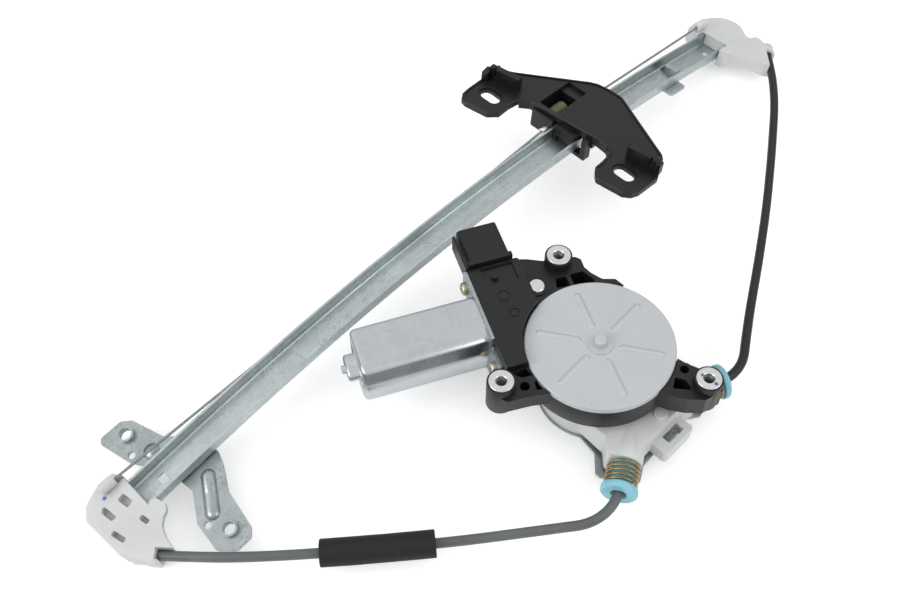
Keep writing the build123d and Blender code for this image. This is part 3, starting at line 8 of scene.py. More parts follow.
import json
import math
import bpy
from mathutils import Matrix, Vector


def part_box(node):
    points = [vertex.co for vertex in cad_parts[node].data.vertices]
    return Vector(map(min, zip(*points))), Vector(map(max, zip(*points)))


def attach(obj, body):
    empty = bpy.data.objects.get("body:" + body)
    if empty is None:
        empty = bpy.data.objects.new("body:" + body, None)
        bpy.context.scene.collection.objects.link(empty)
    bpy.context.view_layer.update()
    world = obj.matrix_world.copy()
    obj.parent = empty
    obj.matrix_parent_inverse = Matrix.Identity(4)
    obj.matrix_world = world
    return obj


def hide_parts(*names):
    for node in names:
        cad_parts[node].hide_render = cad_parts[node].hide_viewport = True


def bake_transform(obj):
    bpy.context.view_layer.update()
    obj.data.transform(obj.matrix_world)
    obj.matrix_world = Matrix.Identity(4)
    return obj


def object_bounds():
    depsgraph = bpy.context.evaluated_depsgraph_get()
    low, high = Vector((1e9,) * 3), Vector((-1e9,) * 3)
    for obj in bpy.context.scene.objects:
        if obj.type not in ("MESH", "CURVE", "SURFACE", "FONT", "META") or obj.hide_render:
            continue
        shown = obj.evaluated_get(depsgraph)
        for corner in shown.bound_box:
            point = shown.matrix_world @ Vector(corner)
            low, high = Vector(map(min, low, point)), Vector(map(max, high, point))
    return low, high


bl_info = {
    "name": "Window Regulator Builder",
    "version": (1, 0, 0),
    "blender": (4, 5, 0),
    "location": "3D View > Sidebar > Regulator",
    "description": "Finishes, cables and studio for a cable window regulator",
    "category": "Object",
}

import bmesh
import bpy
import numpy as np
from bpy.props import FloatProperty, FloatVectorProperty, IntProperty, PointerProperty

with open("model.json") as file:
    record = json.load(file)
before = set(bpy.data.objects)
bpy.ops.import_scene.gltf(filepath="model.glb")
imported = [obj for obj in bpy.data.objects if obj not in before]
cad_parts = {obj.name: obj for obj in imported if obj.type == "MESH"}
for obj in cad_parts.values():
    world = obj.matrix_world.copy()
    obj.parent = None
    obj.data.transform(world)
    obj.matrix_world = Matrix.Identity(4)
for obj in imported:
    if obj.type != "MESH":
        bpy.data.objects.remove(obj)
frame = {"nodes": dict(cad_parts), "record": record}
NODES = frame["nodes"]
INSERTS = [mount for mount in frame["record"]["mounts"] if mount["kind"] == "threaded_hole"]
CAD_BOX = [list(corner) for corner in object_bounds()]
MM = 0.001


# ------------------------------------------------------------------------ settings
def number(name, words, value, **more):
    return FloatProperty(name=name, description=words, default=value, **more)


def colour(name, words, value):
    return FloatVectorProperty(name=name, description=words, default=value, subtype="COLOR", size=3,
                               min=0.0, max=1.0)


def length(name, words, value):
    return FloatProperty(name=name, description=words, default=value, min=0.0, max=10.0, unit="LENGTH",
                         precision=5)


class REG_PG_studio(bpy.types.PropertyGroup):
    focal: number("Focal length", "Camera lens, in millimetres of a 36 mm sensor", 47.0, min=10.0, max=200.0)
    eye: FloatVectorProperty(name="Camera place", description="Where the camera stands", size=3,
                             default=(0.1662, -0.2651, 0.4568), subtype="TRANSLATION")
    azimuth: number("Azimuth", "Turn of the view about the vertical", math.radians(45.12), subtype="ANGLE")
    elevation: number("Elevation", "How far the camera looks down", math.radians(54.398), subtype="ANGLE")
    floor: colour("Floor", "Colour of the floor", (1.0, 1.0, 1.0))
    key: number("Key light", "Power of the large lamp at the camera's left", 5.0, min=0.0, unit="POWER")
    fill: number("Fill light", "Power of the lamp at the camera's right", 2.0, min=0.0, unit="POWER")
    sky: number("Sky", "Strength of the light from above", 0.95, min=0.0, max=2.0)
    horizon: number("Horizon", "Strength of the light from the sides", 0.16, min=0.0, max=2.0)
    table: length("Table", "Reach of the white table that bright pieces mirror", 0.30)


class REG_PG_finishes(bpy.types.PropertyGroup):
    zinc: colour("Zinc", "Plated steel of the rail and plates", (0.50, 0.55, 0.555))
    can: colour("Can", "Bright plating of the motor's can", (0.55, 0.585, 0.61))
    can_lean: number("Can lean", "Slope at the top of the can's barrelled sides", 0.62, min=0.0, max=2.0)
    cover: colour("Cover", "Matt coating of the gear cover", (0.53, 0.56, 0.58))
    bright: colour("Bright steel", "Inserts, rivet and cable ends", (0.70, 0.71, 0.71))
    yellow: colour("Yellow plating", "Flange screws", (0.62, 0.57, 0.40))
    acetal: colour("Natural plastic", "Guide housings and drum housing", (0.66, 0.67, 0.67))
    black: colour("Black plastic", "Gear case, carrier and connector", (0.0075, 0.0075, 0.0085))
    blue: colour("Blue plastic", "Adjuster sleeves", (0.25, 0.55, 0.65))
    wire: colour("Spring wire", "Yellow passivated spring wire", (0.36, 0.28, 0.14))
    grey_tube: colour("Grey conduit", "Cover of the lower conduit", (0.11, 0.12, 0.12))
    black_tube: colour("Black conduit", "Cover of the upper conduit", (0.012, 0.012, 0.013))
    rubber: colour("Rubber", "Tube on the lower conduit", (0.011, 0.011, 0.011))
    rope: colour("Cable", "Galvanised wire rope", (0.42, 0.43, 0.43))
    ink: colour("Ink", "Inspector's dabs of marker", (0.06, 0.07, 0.42))


class REG_PG_cables(bpy.types.PropertyGroup):
    strands: IntProperty(name="Strands", description="Strands round the cable's core", default=6,
                         min=3, max=12)
    rope: length("Cable diameter", "Over the strands", 0.0015)
    lay: length("Lay", "Length in which a strand turns once round the cable", 0.008)


class REG_PG_details(bpy.types.PropertyGroup):
    pitch: length("Thread pitch", "Of the inserts' thread", 0.001)
    ridge: length("Thread ridge", "How far the ridges stand into the bore", 0.0003)
    depth: length("Thread depth", "How far down the thread is cut", 0.0125)
    tube: length("Rubber tube", "Its diameter", 0.013)
    bore: length("Tube bore", "Diameter of the conduit inside the rubber tube", 0.0048)
    lip: length("Tube edge", "Rounding of the rubber tube's ends", 0.0006)
    bead: length("Bead", "Radius of the bracket's pressed bead", 0.00404)
    sheet: length("Sheet", "Thickness of the bracket", 0.0017)
    stop_half: length("Stop half width", "Half the width of the rail's stop", 0.00598)
    stop_rise: length("Stop rise", "Height of the stop over the rail's floor", 0.0034)
    stop_gap: length("Stop reach", "From the stop's middle to the foot of its flanks", 0.00348)
    stop_crest: length("Stop crest", "From the stop's middle to the top of its flanks", 0.002)


# ---------------------------------------------------------------- node-tree helpers
def add(tree, kind, **values):
    """Adds a node; values set its properties, or its inputs where it has one of that name."""
    node = tree.nodes.new(kind)
    for key, value in values.items():
        if key in node.inputs:
            node.inputs[key].default_value = value
        else:
            setattr(node, key, value)
    return node


def feed(tree, output, name, *nodes):
    """Links an output to the input of this name on each node."""
    for node in nodes:
        tree.links.new(output, node.inputs[name])


def math_node(tree, operation, a, b=None):
    node = add(tree, "ShaderNodeMath", operation=operation)
    for i, value in enumerate((a, b)):
        if value is None:
            continue
        if isinstance(value, (int, float)):
            node.inputs[i].default_value = value
        else:
            tree.links.new(value, node.inputs[i])
    return node.outputs[0]


def times(tree, a, b):
    return math_node(tree, "MULTIPLY", a, b)


def span(tree, value, low, high, to_low=0.0, to_high=1.0):
    """Maps low to high onto another range, and stops at its ends."""
    node = tree.nodes.new("ShaderNodeMapRange")
    feed(tree, value, "Value", node)
    for key, end in (("From Min", low), ("From Max", high), ("To Min", to_low), ("To Max", to_high)):
        node.inputs[key].default_value = end
    return node.outputs["Result"]


def mix(tree, share, a, b):
    """Blends two colours; each may be a colour or an output."""
    node = add(tree, "ShaderNodeMix", data_type="RGBA")
    for socket, value in ((node.inputs["Factor"], share), (node.inputs[6], a), (node.inputs[7], b)):
        if isinstance(value, (int, float)):
            socket.default_value = value
        elif isinstance(value, tuple):
            socket.default_value = (*value[:3], 1.0)
        else:
            tree.links.new(value, socket)
    return node.outputs[2]


def shade(base, factor):
    """A colour made darker or lighter by a factor, up to white."""
    return tuple(min(1.0, c * factor) for c in base)


# ---------------------------------------------------- effects that finishes share
def group(name, control, kind, value, output):
    """New node group with a Vector, one control and one output, and its two end nodes."""
    tree = bpy.data.node_groups.new(name, "ShaderNodeTree")
    tree.interface.new_socket("Vector", in_out="INPUT", socket_type="NodeSocketVector")
    socket = tree.interface.new_socket(control, in_out="INPUT", socket_type="NodeSocket" + kind)
    socket.default_value = value
    tree.interface.new_socket(output, in_out="OUTPUT", socket_type="NodeSocketFloat")
    return tree, tree.nodes.new("NodeGroupInput"), tree.nodes.new("NodeGroupOutput")


def two_noises(tree, start, first, second, factor):
    """Links two noises to the group's Vector, the first to its Scale and the second to its
    Scale times a factor."""
    feed(tree, start.outputs["Vector"], "Vector", first, second)
    for node, share in ((first, 1.0), (second, factor)):
        feed(tree, times(tree, start.outputs["Scale"], share), "Scale", node)


def uneven_tone():
    """Two sizes of noise, added."""
    tree, start, end = group("Uneven tone", "Scale", "Float", 40.0, "Mask")
    low = add(tree, "ShaderNodeTexNoise", Detail=4.0, Roughness=0.6)
    high = add(tree, "ShaderNodeTexNoise", Detail=3.0, Roughness=0.5)
    two_noises(tree, start, low, high, 5.3)
    total = math_node(tree, "ADD", times(tree, low.outputs[0], 0.68), times(tree, high.outputs[0], 0.32))
    feed(tree, span(tree, total, 0.34, 0.66), "Mask", end)


def drawn_marks():
    """Noise stretched along one direction, as rolling and drawing leave."""
    tree, start, end = group("Drawn marks", "Stretch", "Vector", (900.0, 12.0, 900.0), "Mask")
    scaled = add(tree, "ShaderNodeVectorMath", operation="MULTIPLY")
    tree.links.new(start.outputs["Vector"], scaled.inputs[0])
    tree.links.new(start.outputs["Stretch"], scaled.inputs[1])
    noise = add(tree, "ShaderNodeTexNoise", Scale=1.0, Detail=5.0, Roughness=0.62)
    feed(tree, scaled.outputs[0], "Vector", noise)
    feed(tree, span(tree, noise.outputs[0], 0.3, 0.7), "Mask", end)


def fine_grain():
    """Height of a moulded or plated surface."""
    tree, start, end = group("Fine grain", "Scale", "Float", 2500.0, "Height")
    noise = add(tree, "ShaderNodeTexNoise", Detail=2.0, Roughness=0.7)
    feed(tree, start.outputs["Vector"], "Vector", noise)
    feed(tree, start.outputs["Scale"], "Scale", noise)
    feed(tree, noise.outputs[0], "Height", end)


def thin_scratches():
    """Thin lines where either of two stretched noises crosses its middle level."""
    tree, start, end = group("Scratches", "Scale", "Float", 60.0, "Mask")
    masks = []
    for angle in (0.5, 2.1):
        turn = add(tree, "ShaderNodeMapping", Rotation=(0.3, angle * 0.4, angle), Scale=(1.0, 0.06, 1.0))
        feed(tree, start.outputs["Vector"], "Vector", turn)
        noise = add(tree, "ShaderNodeTexNoise", Detail=1.0, Roughness=0.4)
        feed(tree, turn.outputs[0], "Vector", noise)
        feed(tree, start.outputs["Scale"], "Scale", noise)
        away = math_node(tree, "ABSOLUTE", math_node(tree, "SUBTRACT", noise.outputs[0], 0.5))
        masks.append(span(tree, away, 0.0, 0.012, 1.0, 0.0))
    feed(tree, math_node(tree, "MAXIMUM", *masks), "Mask", end)


def dark_stains():
    """Small dark spots, gathered in wide patches."""
    tree, start, end = group("Stains", "Scale", "Float", 700.0, "Mask")
    small = add(tree, "ShaderNodeTexNoise", Detail=5.0, Roughness=0.72)
    wide = add(tree, "ShaderNodeTexNoise", Detail=3.0, Roughness=0.6)
    two_noises(tree, start, small, wide, 0.06)
    patches = span(tree, wide.outputs[0], 0.38, 0.66, 0.15, 1.0)
    spots = span(tree, small.outputs[0], 0.50, 0.66)
    feed(tree, times(tree, spots, patches), "Mask", end)


def dust_specks():
    """Small round dots in about one cell of a Voronoi pattern in ten."""
    tree, start, end = group("Specks", "Scale", "Float", 700.0, "Mask")
    cells = add(tree, "ShaderNodeTexVoronoi", Randomness=1.0)
    feed(tree, start.outputs["Vector"], "Vector", cells)
    feed(tree, start.outputs["Scale"], "Scale", cells)
    dot = span(tree, cells.outputs["Distance"], 0.10, 0.17, 1.0, 0.0)
    chance = tree.nodes.new("ShaderNodeSeparateColor")
    tree.links.new(cells.outputs["Color"], chance.inputs[0])
    feed(tree, times(tree, dot, span(tree, chance.outputs[0], 0.90, 0.92)), "Mask", end)


EFFECTS = (uneven_tone, drawn_marks, fine_grain, thin_scratches, dark_stains, dust_specks)


def place(tree, effect, where, **values):
    """Puts an effect into a material at these coordinates, and returns its output."""
    node = tree.nodes.new("ShaderNodeGroup")
    node.node_tree = bpy.data.node_groups[effect]
    for key, value in values.items():
        node.inputs[key].default_value = value
    feed(tree, where, "Vector", node)
    return node.outputs[0]


# ----------------------------------------------------------------------- materials
# cycles of noise to a metre
METAL_TONE = 55.0
METAL_SCRATCHES = 90.0
METAL_GRAIN = 3200.0
METAL_STAINS = 700.0
COATING_TONE = 30.0
COATING_SCRATCHES = 60.0
COATING_GRAIN = 4200.0
COATING_DUST = 420.0
PLASTIC_TONE = 38.0
PLASTIC_GRAIN = 2600.0
PLASTIC_DUST = 900.0
DAB_NOISE = 1600.0
# height of the grain, and of the marks as a share of it
METAL_HEIGHT = 0.00003
PLASTIC_HEIGHT = 0.00004
MARK_HEIGHT = 0.5
# what marks, scratches and stains make of a metal's own colour
MARK_SHADE = 0.55
SCRATCH_SHADE = 1.35
STAIN_SHADE = 0.30
# how much of a metal's uneven gloss follows its tone, and how much its marks
GLOSS_BY_TONE = 0.6
GLOSS_BY_MARKS = 0.4
# the coating: its tones, its scratches, its metallic share and its grain
COATING_SHADES = (0.96, 1.03)
COATING_SCRATCH = (0.8, 0.8, 0.8)
COATING_SCRATCHED = 0.04
COATING_METALLIC = 0.35
COATING_BUMP = 0.35
# how far the roughness goes below and above its middle
COATING_SPREAD = (0.04, 0.05)
PLASTIC_SPREAD = (0.06, 0.07)
# dust on the coating and on plastic
DARK_DUST = (0.12, 0.12, 0.12)
PALE_DUST = (0.5, 0.5, 0.5)
# how far light goes into plastic, red a little farther than blue
GLOW_COLOURS = (1.0, 0.9, 0.8)
GLOW_DEPTH = 0.003
# strength of a dab's ink, and the share of its radius up to which it is full
DAB_INK = 0.9
DAB_FULL = 0.6


def start_material(name):
    """New material: its tree, its shader and the Object coordinates."""
    material = bpy.data.materials.new(name)
    material.use_nodes = True
    tree = material.node_tree
    shader = tree.nodes["Principled BSDF"]
    where = tree.nodes.new("ShaderNodeTexCoord").outputs["Object"]
    return material, tree, shader, where


def bump(tree, shader, height, strength, distance):
    node = add(tree, "ShaderNodeBump", Strength=strength, Distance=distance)
    feed(tree, height, "Height", node)
    feed(tree, node.outputs[0], "Normal", shader)
    return node


def turned(tree, where, angle):
    """Coordinates turned about the vertical, so that X runs along a piece that lies askew."""
    node = add(tree, "ShaderNodeMapping", Rotation=(0.0, 0.0, -angle))
    feed(tree, where, "Vector", node)
    return node.outputs[0]


def dabbed(tree, where, toned, dabs, ink):
    """Lays small uneven dabs of marker over a colour, each at a place with a radius."""
    for middle, radius in dabs:
        away = add(tree, "ShaderNodeVectorMath", operation="DISTANCE")
        tree.links.new(where, away.inputs[0])
        away.inputs[1].default_value = middle
        noise = add(tree, "ShaderNodeTexNoise", Scale=DAB_NOISE, Detail=3.0)
        feed(tree, where, "Vector", noise)
        ragged = times(tree, math_node(tree, "SUBTRACT", noise.outputs[0], 0.5), radius)
        reach = math_node(tree, "ADD", away.outputs["Value"], ragged)
        toned = mix(tree, span(tree, reach, radius * DAB_FULL, radius, DAB_INK, 0.0), toned, ink)
    return toned


def crowned(tree, where, low, high, tilt):
    """Normals of upright walls that lean back more and more from low to high, and by tilt
    from there up, as those of a barrelled wall do."""
    apart = tree.nodes.new("ShaderNodeSeparateXYZ")
    tree.links.new(where, apart.inputs[0])
    share = span(tree, apart.outputs["Z"], low, high)
    bend = times(tree, math_node(tree, "POWER", share, 2.0), (high - low) / 2)
    above = math_node(tree, "MAXIMUM", math_node(tree, "SUBTRACT", apart.outputs["Z"], high), 0.0)
    node = add(tree, "ShaderNodeBump", Strength=1.0, Distance=1.0)
    feed(tree, times(tree, math_node(tree, "ADD", bend, above), -tilt), "Height", node)
    return node.outputs[0]


def metal(name, base, rough, spread, stretch, tone=0.14, grain=0.25, marks=0.12, scratch=0.35, turn=0.0,
          stain=0.0, crown=None, dabs=(), ink=(0.0, 0.0, 0.0)):
    """Plated steel: uneven tone, drawn marks along one direction, thin scratches and stains."""
    material, tree, shader, where = start_material(name)
    along = turned(tree, where, turn) if turn else where
    uneven = place(tree, "Uneven tone", along, Scale=METAL_TONE)
    drawn = place(tree, "Drawn marks", along, Stretch=stretch)
    scratches = place(tree, "Scratches", along, Scale=METAL_SCRATCHES)
    fine = place(tree, "Fine grain", along, Scale=METAL_GRAIN)
    toned = mix(tree, uneven, shade(base, 1 - tone), shade(base, 1 + tone))
    toned = mix(tree, times(tree, drawn, marks), toned, shade(base, MARK_SHADE))
    toned = mix(tree, times(tree, scratches, scratch), toned, shade(base, SCRATCH_SHADE))
    if stain:
        spots = place(tree, "Stains", where, Scale=METAL_STAINS)
        toned = mix(tree, times(tree, spots, stain), toned, shade(base, STAIN_SHADE))
    feed(tree, dabbed(tree, where, toned, dabs, ink), "Base Color", shader)
    shader.inputs["Metallic"].default_value = 1.0
    wear_and_painted_shade = math_node(tree, "ADD", times(tree, uneven, GLOSS_BY_TONE), times(tree, drawn, GLOSS_BY_MARKS))
    feed(tree, span(tree, wear_and_painted_shade, 0.0, 1.0, rough - spread, rough + spread), "Roughness", shader)
    height = math_node(tree, "ADD", times(tree, drawn, MARK_HEIGHT), fine)
    skin = bump(tree, shader, height, grain, METAL_HEIGHT)
    if crown:
        feed(tree, crowned(tree, where, *crown), "Normal", skin)
    return material


def coating(name, base, rough, specks):
    """Matt grey coating on sheet steel: nearly even, with fine grain, faint scratches and a
    few dark specks."""
    material, tree, shader, where = start_material(name)
    uneven = place(tree, "Uneven tone", where, Scale=COATING_TONE)
    fine = place(tree, "Fine grain", where, Scale=COATING_GRAIN)
    dust = place(tree, "Specks", where, Scale=COATING_DUST)
    scratches = place(tree, "Scratches", where, Scale=COATING_SCRATCHES)
    toned = mix(tree, uneven, *(shade(base, factor) for factor in COATING_SHADES))
    toned = mix(tree, times(tree, scratches, COATING_SCRATCHED), toned, COATING_SCRATCH)
    toned = mix(tree, times(tree, dust, specks), toned, DARK_DUST)
    feed(tree, toned, "Base Color", shader)
    shader.inputs["Metallic"].default_value = COATING_METALLIC
    below, above = COATING_SPREAD
    feed(tree, span(tree, uneven, 0.0, 1.0, rough - below, rough + above), "Roughness", shader)
    bump(tree, shader, fine, COATING_BUMP, METAL_HEIGHT)
    return material


def plastic(name, base, rough, grain=0.2, specks=0.0, tone=0.12, glow=0.0, shine=0.5, dabs=(),
            ink=(0.0, 0.0, 0.0)):
    """Moulded plastic: fine grain, uneven gloss and a little dust; glow lets light in."""
    material, tree, shader, where = start_material(name)
    uneven = place(tree, "Uneven tone", where, Scale=PLASTIC_TONE)
    fine = place(tree, "Fine grain", where, Scale=PLASTIC_GRAIN)
    dust = place(tree, "Specks", where, Scale=PLASTIC_DUST)
    toned = mix(tree, uneven, shade(base, 1 - tone), shade(base, 1 + tone))
    toned = mix(tree, times(tree, dust, specks), toned, PALE_DUST)
    feed(tree, dabbed(tree, where, toned, dabs, ink), "Base Color", shader)
    below, above = PLASTIC_SPREAD
    feed(tree, span(tree, uneven, 0.0, 1.0, rough - below, rough + above), "Roughness", shader)
    bump(tree, shader, fine, grain, PLASTIC_HEIGHT)
    shader.inputs["Specular IOR Level"].default_value = shine
    if glow:
        shader.inputs["Subsurface Weight"].default_value = glow
        shader.inputs["Subsurface Radius"].default_value = GLOW_COLOURS
        shader.inputs["Subsurface Scale"].default_value = GLOW_DEPTH
    return material


WELD = 0.000001            # points nearer than this are joined before an edge is rounded
EDGE_SEGMENTS = 2


def finish(names, material, bevel=0.0, angle=28):
    """Gives CAD nodes their material, and rounds edges that turn by more than the angle."""
    for name in names:
        node = NODES[name]
        node.data.materials.clear()
        node.data.materials.append(material)
        if bevel:
            weld = node.modifiers.new("Weld", "WELD")
            weld.merge_threshold = WELD
            edge = node.modifiers.new("Edges", "BEVEL")
            edge.width = bevel
            edge.segments = EDGE_SEGMENTS
            edge.limit_method = "ANGLE"
            edge.angle_limit = math.radians(angle)
            edge.harden_normals = False
            edge.use_clamp_overlap = True


# --------------------------------------------------------------------- mesh helpers
def grid_faces(points, closed_rows=False):
    """Points and faces of a grid, rows by columns by 3, whose last column meets its first;
    closed_rows joins the last row to the first as well."""
    rows, columns = points.shape[:2]
    i = np.arange(rows if closed_rows else rows - 1)[:, None]
    j = np.arange(columns)[None, :]
    next_i, next_j = (i + 1) % rows, (j + 1) % columns
    corners = (i * columns + j, i * columns + next_j, next_i * columns + next_j, next_i * columns + j)
    return points.reshape(-1, 3), np.stack(np.broadcast_arrays(*corners), -1).reshape(-1, 4)


def fan(ring, centre):
    """Triangles from a ring of points to a point at its middle, all given by number."""
    return np.stack([ring, np.roll(ring, -1), np.full(len(ring), centre)], -1)


def frames_along(line):
    """Two directions square to a line at each of its points, worked out from the vertical."""
    step = np.gradient(line, axis=0)
    ahead = step / np.linalg.norm(step, axis=1, keepdims=True)
    side = np.cross(ahead, (0.0, 0.0, 1.0))
    side /= np.linalg.norm(side, axis=1, keepdims=True)
    return side, np.cross(side, ahead)


def tube(line, radius, sides):
    """Closed tube: circles of the radius, one at each point of the line and square to it,
    with a fan to the line's own point at each end."""
    side, up = (d[:, None, :] for d in frames_along(line))
    turn = np.linspace(0, 2 * np.pi, sides, endpoint=False)[None, :, None]
    points, faces = grid_faces(line[:, None, :] + radius * (np.cos(turn) * side + np.sin(turn) * up))
    count, ring = len(points), np.arange(sides)
    ends = [*fan(ring, count), *fan(ring + count - sides, count + 1)]
    return np.vstack([points, line[0], line[-1]]), [*faces, *ends]


STEPS_PER_LAY = 14         # points along one turn of a strand
STRAND_SIDES = 6
CORE = 0.19                # radius of a rope's core, as a share of the rope's diameter


def wire_rope(start, end, diameter, strands, lay):
    """Core and strands of a rope. A strand's centre is the straight line from start to end
    plus a circle of two thirds of the rope's radius, which turns once in each lay; strand k
    of n begins k / n of a turn round."""
    start, end = np.array(start), np.array(end)
    run = np.linalg.norm(end - start)
    share = np.linspace(0, 1, int(run / lay * STEPS_PER_LAY))[:, None]
    line = start + (end - start) * share
    side, up = frames_along(line)
    parts = [tube(line[::STEPS_PER_LAY], diameter * CORE, STRAND_SIDES)]
    for k in range(strands):
        turn = 2 * np.pi * (share * run / lay + k / strands)
        centre = line + diameter / 3 * (np.cos(turn) * side + np.sin(turn) * up)
        parts.append(tube(centre, diameter / 6, STRAND_SIDES))
    return parts


THREAD_STEPS = 12          # rings to one pitch
THREAD_SIDES = 40
CREST = 1.3                # height of a ridge before its crest is cut flat at 1
ROOT_GAP = 0.00006         # from the bore to the thread's root
BACK_GAP = 0.00002         # from the bore to the back of the thread's wall


def thread(centre, top, radius, details):
    """Wall of a threaded bore. The inner radius is the bore's less a ridge, whose height at
    a depth and an angle is one minus the distance from the middle of the pitch, taken twice
    and cut flat at the crest; the outer radius is just inside the bore."""
    rings = int(details.depth / details.pitch * THREAD_STEPS)
    depth = np.linspace(0, details.depth, rings)[:, None]
    angle = np.linspace(0, 2 * np.pi, THREAD_SIDES, endpoint=False)[None, :]
    phase = (depth / details.pitch - angle / (2 * np.pi)) % 1.0
    height = np.clip(CREST * (1 - np.abs(2 * phase - 1)), 0, 1)
    inner = radius - ROOT_GAP - details.ridge * height * np.clip(depth / details.pitch, 0, 1)
    outer = np.full_like(inner, radius - BACK_GAP)
    wall = np.vstack([inner, outer[::-1]])
    down = np.vstack([depth, depth[::-1]])
    points = np.stack([centre[0] + wall * np.cos(angle), centre[1] + wall * np.sin(angle),
                       top - down + 0 * angle], -1)
    return [grid_faces(points, closed_rows=True)]


RUBBER_RINGS = 60
RUBBER_SIDES = 64
LIP_RINGS = 5
RUBBER_UNEVEN = 0.008      # of the tube's radius
RUBBER_FIT = 0.00005       # from the conduit to the tube's bore


def rubber_tube(start, middle, end, details):
    """Slack rubber tube on a bent conduit. Its line is the parabola through the three
    points, and its radius is uneven by about one part in a hundred, as the sum of three
    slow waves along and round it; the ends are quarter circles, and the bore is plain."""
    start, middle, end = (np.array(p) for p in (start, middle, end))
    lip = details.lip
    run = np.linalg.norm(end - start)
    quarter = lip * (1 - np.cos(np.linspace(0, np.pi / 2, LIP_RINGS)))
    straight = np.linspace(lip, run - lip, RUBBER_RINGS)[1:-1]
    along = (np.concatenate([quarter, straight, run - quarter[::-1]]) / run)[:, None]
    bend = 4 * middle - 3 * start - end
    line = start + along * bend + along ** 2 * (end - start - bend)
    side, up = (d[:, None, :] for d in frames_along(line))
    angle = np.linspace(0, 2 * np.pi, RUBBER_SIDES, endpoint=False)[None, :]
    wave = (0.5 * np.sin(9 * along + 2 * angle) + 0.3 * np.sin(23 * along - 3 * angle)
            + 0.4 * np.cos(5 * along + angle))
    near = np.minimum(along, 1 - along) * run
    edge = lip - np.sqrt(np.clip(lip ** 2 - np.clip(lip - near, 0, lip) ** 2, 0, None))
    outer = details.tube / 2 * (1 + RUBBER_UNEVEN * (wave - 1)) - edge
    inner = np.full_like(outer, details.bore / 2 + RUBBER_FIT)
    circle = np.cos(angle)[..., None] * side + np.sin(angle)[..., None] * up
    wall = [line[:, None, :] + radius[..., None] * circle for radius in (outer, inner)]
    return [grid_faces(np.vstack([wall[0], wall[1][::-1]]), closed_rows=True)]


def sheet(outside, drop):
    """Closed sheet between a grid of points and the same grid moved back by drop."""
    points, faces = grid_faces(np.concatenate([outside, outside[:, ::-1] - drop], axis=1))
    half = outside.shape[1]
    near = np.arange(half - 1)
    cap = np.stack([near, near + 1, 2 * half - 2 - near, 2 * half - 1 - near], -1)
    return points, [*faces, *cap, *(cap + len(points) - 2 * half)]


FLANK_COLUMNS = 41
FLANK_ROWS = 9
FLANK_SHEET = 0.001        # thickness of the flanks
RAMP_FOOT = 1.08           # where the crest's ends would reach the floor, in half widths
RAMP = 0.42                # how far the crest takes to rise, in half widths


def stop_flanks(middle, up, details):
    """Sloping flanks of the rail's pressed stop. Across the rail the crest's height is a
    trapezium, cut off a little before its ends reach the floor; a flank runs straight from
    the floor to the crest, on each side of the middle."""
    middle, up = np.array(middle), np.array(up)
    along = np.array((0.0, up[2], -up[1]))
    across = np.linspace(-1, 1, FLANK_COLUMNS)[None, :, None] * details.stop_half
    share = np.linspace(0, 1, FLANK_ROWS)[:, None, None]
    inwards = details.stop_half * RAMP_FOOT - np.abs(across)
    crest = details.stop_rise * np.clip(inwards / (details.stop_half * RAMP), 0, 1)
    reach = details.stop_gap + (details.stop_crest - details.stop_gap) * share
    parts = []
    for sign in (-1, 1):
        top = middle + across * np.array((1.0, 0.0, 0.0)) + sign * reach * along + share * crest * up
        parts.append(sheet(top, FLANK_SHEET * up))
    return parts


BEAD_RINGS = 6             # along its straight stretch
BALL_RINGS = 14
BALL_REACH = 86            # degrees, just short of a quarter circle
BEAD_COLUMNS = 25
BEAD_ARC = (12, 168)       # degrees of the half circle that stand out of the bracket


def bead_end(start, end, up, details):
    """Far end of a pressed bead. Its outside is most of a half circle, drawn straight along
    the line from start to end, and then of a quarter of a ball, whose circles shrink as the
    cosine of the angle; its inside is the same form, one sheet lower."""
    start, end, up = np.array(start), np.array(end), np.array(up)
    run = np.linalg.norm(end - start)
    ahead = (end - start) / run
    side = np.cross(up, ahead)
    radius = details.bead
    ball = np.radians(np.linspace(0, BALL_REACH, BALL_RINGS))
    straight = np.linspace(0, run, BEAD_RINGS)[:-1]
    along = np.concatenate([straight, run + radius * np.sin(ball)])[:, None, None]
    size = np.concatenate([np.full(len(straight), radius), radius * np.cos(ball)])[:, None, None]
    turn = np.radians(np.linspace(*BEAD_ARC, BEAD_COLUMNS))[None, :, None]
    outside = start + along * ahead + size * (np.cos(turn) * side + np.sin(turn) * up)
    return [sheet(outside, details.sheet * up)]


SHARP_EDGE = math.radians(50)


def make_object(name, parts, material):
    """One object from several pairs of points and faces, facing outwards and smooth but for
    its sharp edges."""
    points, faces, start = [], [], 0
    for p, f in parts:
        points.append(p)
        faces += [(face + start).tolist() for face in f]
        start += len(p)
    mesh = bpy.data.meshes.new(name)
    mesh.from_pydata(np.concatenate(points).tolist(), [], faces)
    mesh.polygons.foreach_set("use_smooth", np.ones(len(mesh.polygons), bool))
    mesh.materials.append(material)
    mesh.set_sharp_from_angle(angle=SHARP_EDGE)
    solid = bmesh.new()
    solid.from_mesh(mesh)
    bmesh.ops.recalc_face_normals(solid, faces=solid.faces)
    solid.to_mesh(mesh)
    solid.free()
    mesh.update()
    return add_object(name, mesh)


def add_object(name, data):
    obj = bpy.data.objects.new(name, data)
    bpy.context.scene.collection.objects.link(obj)
    return obj


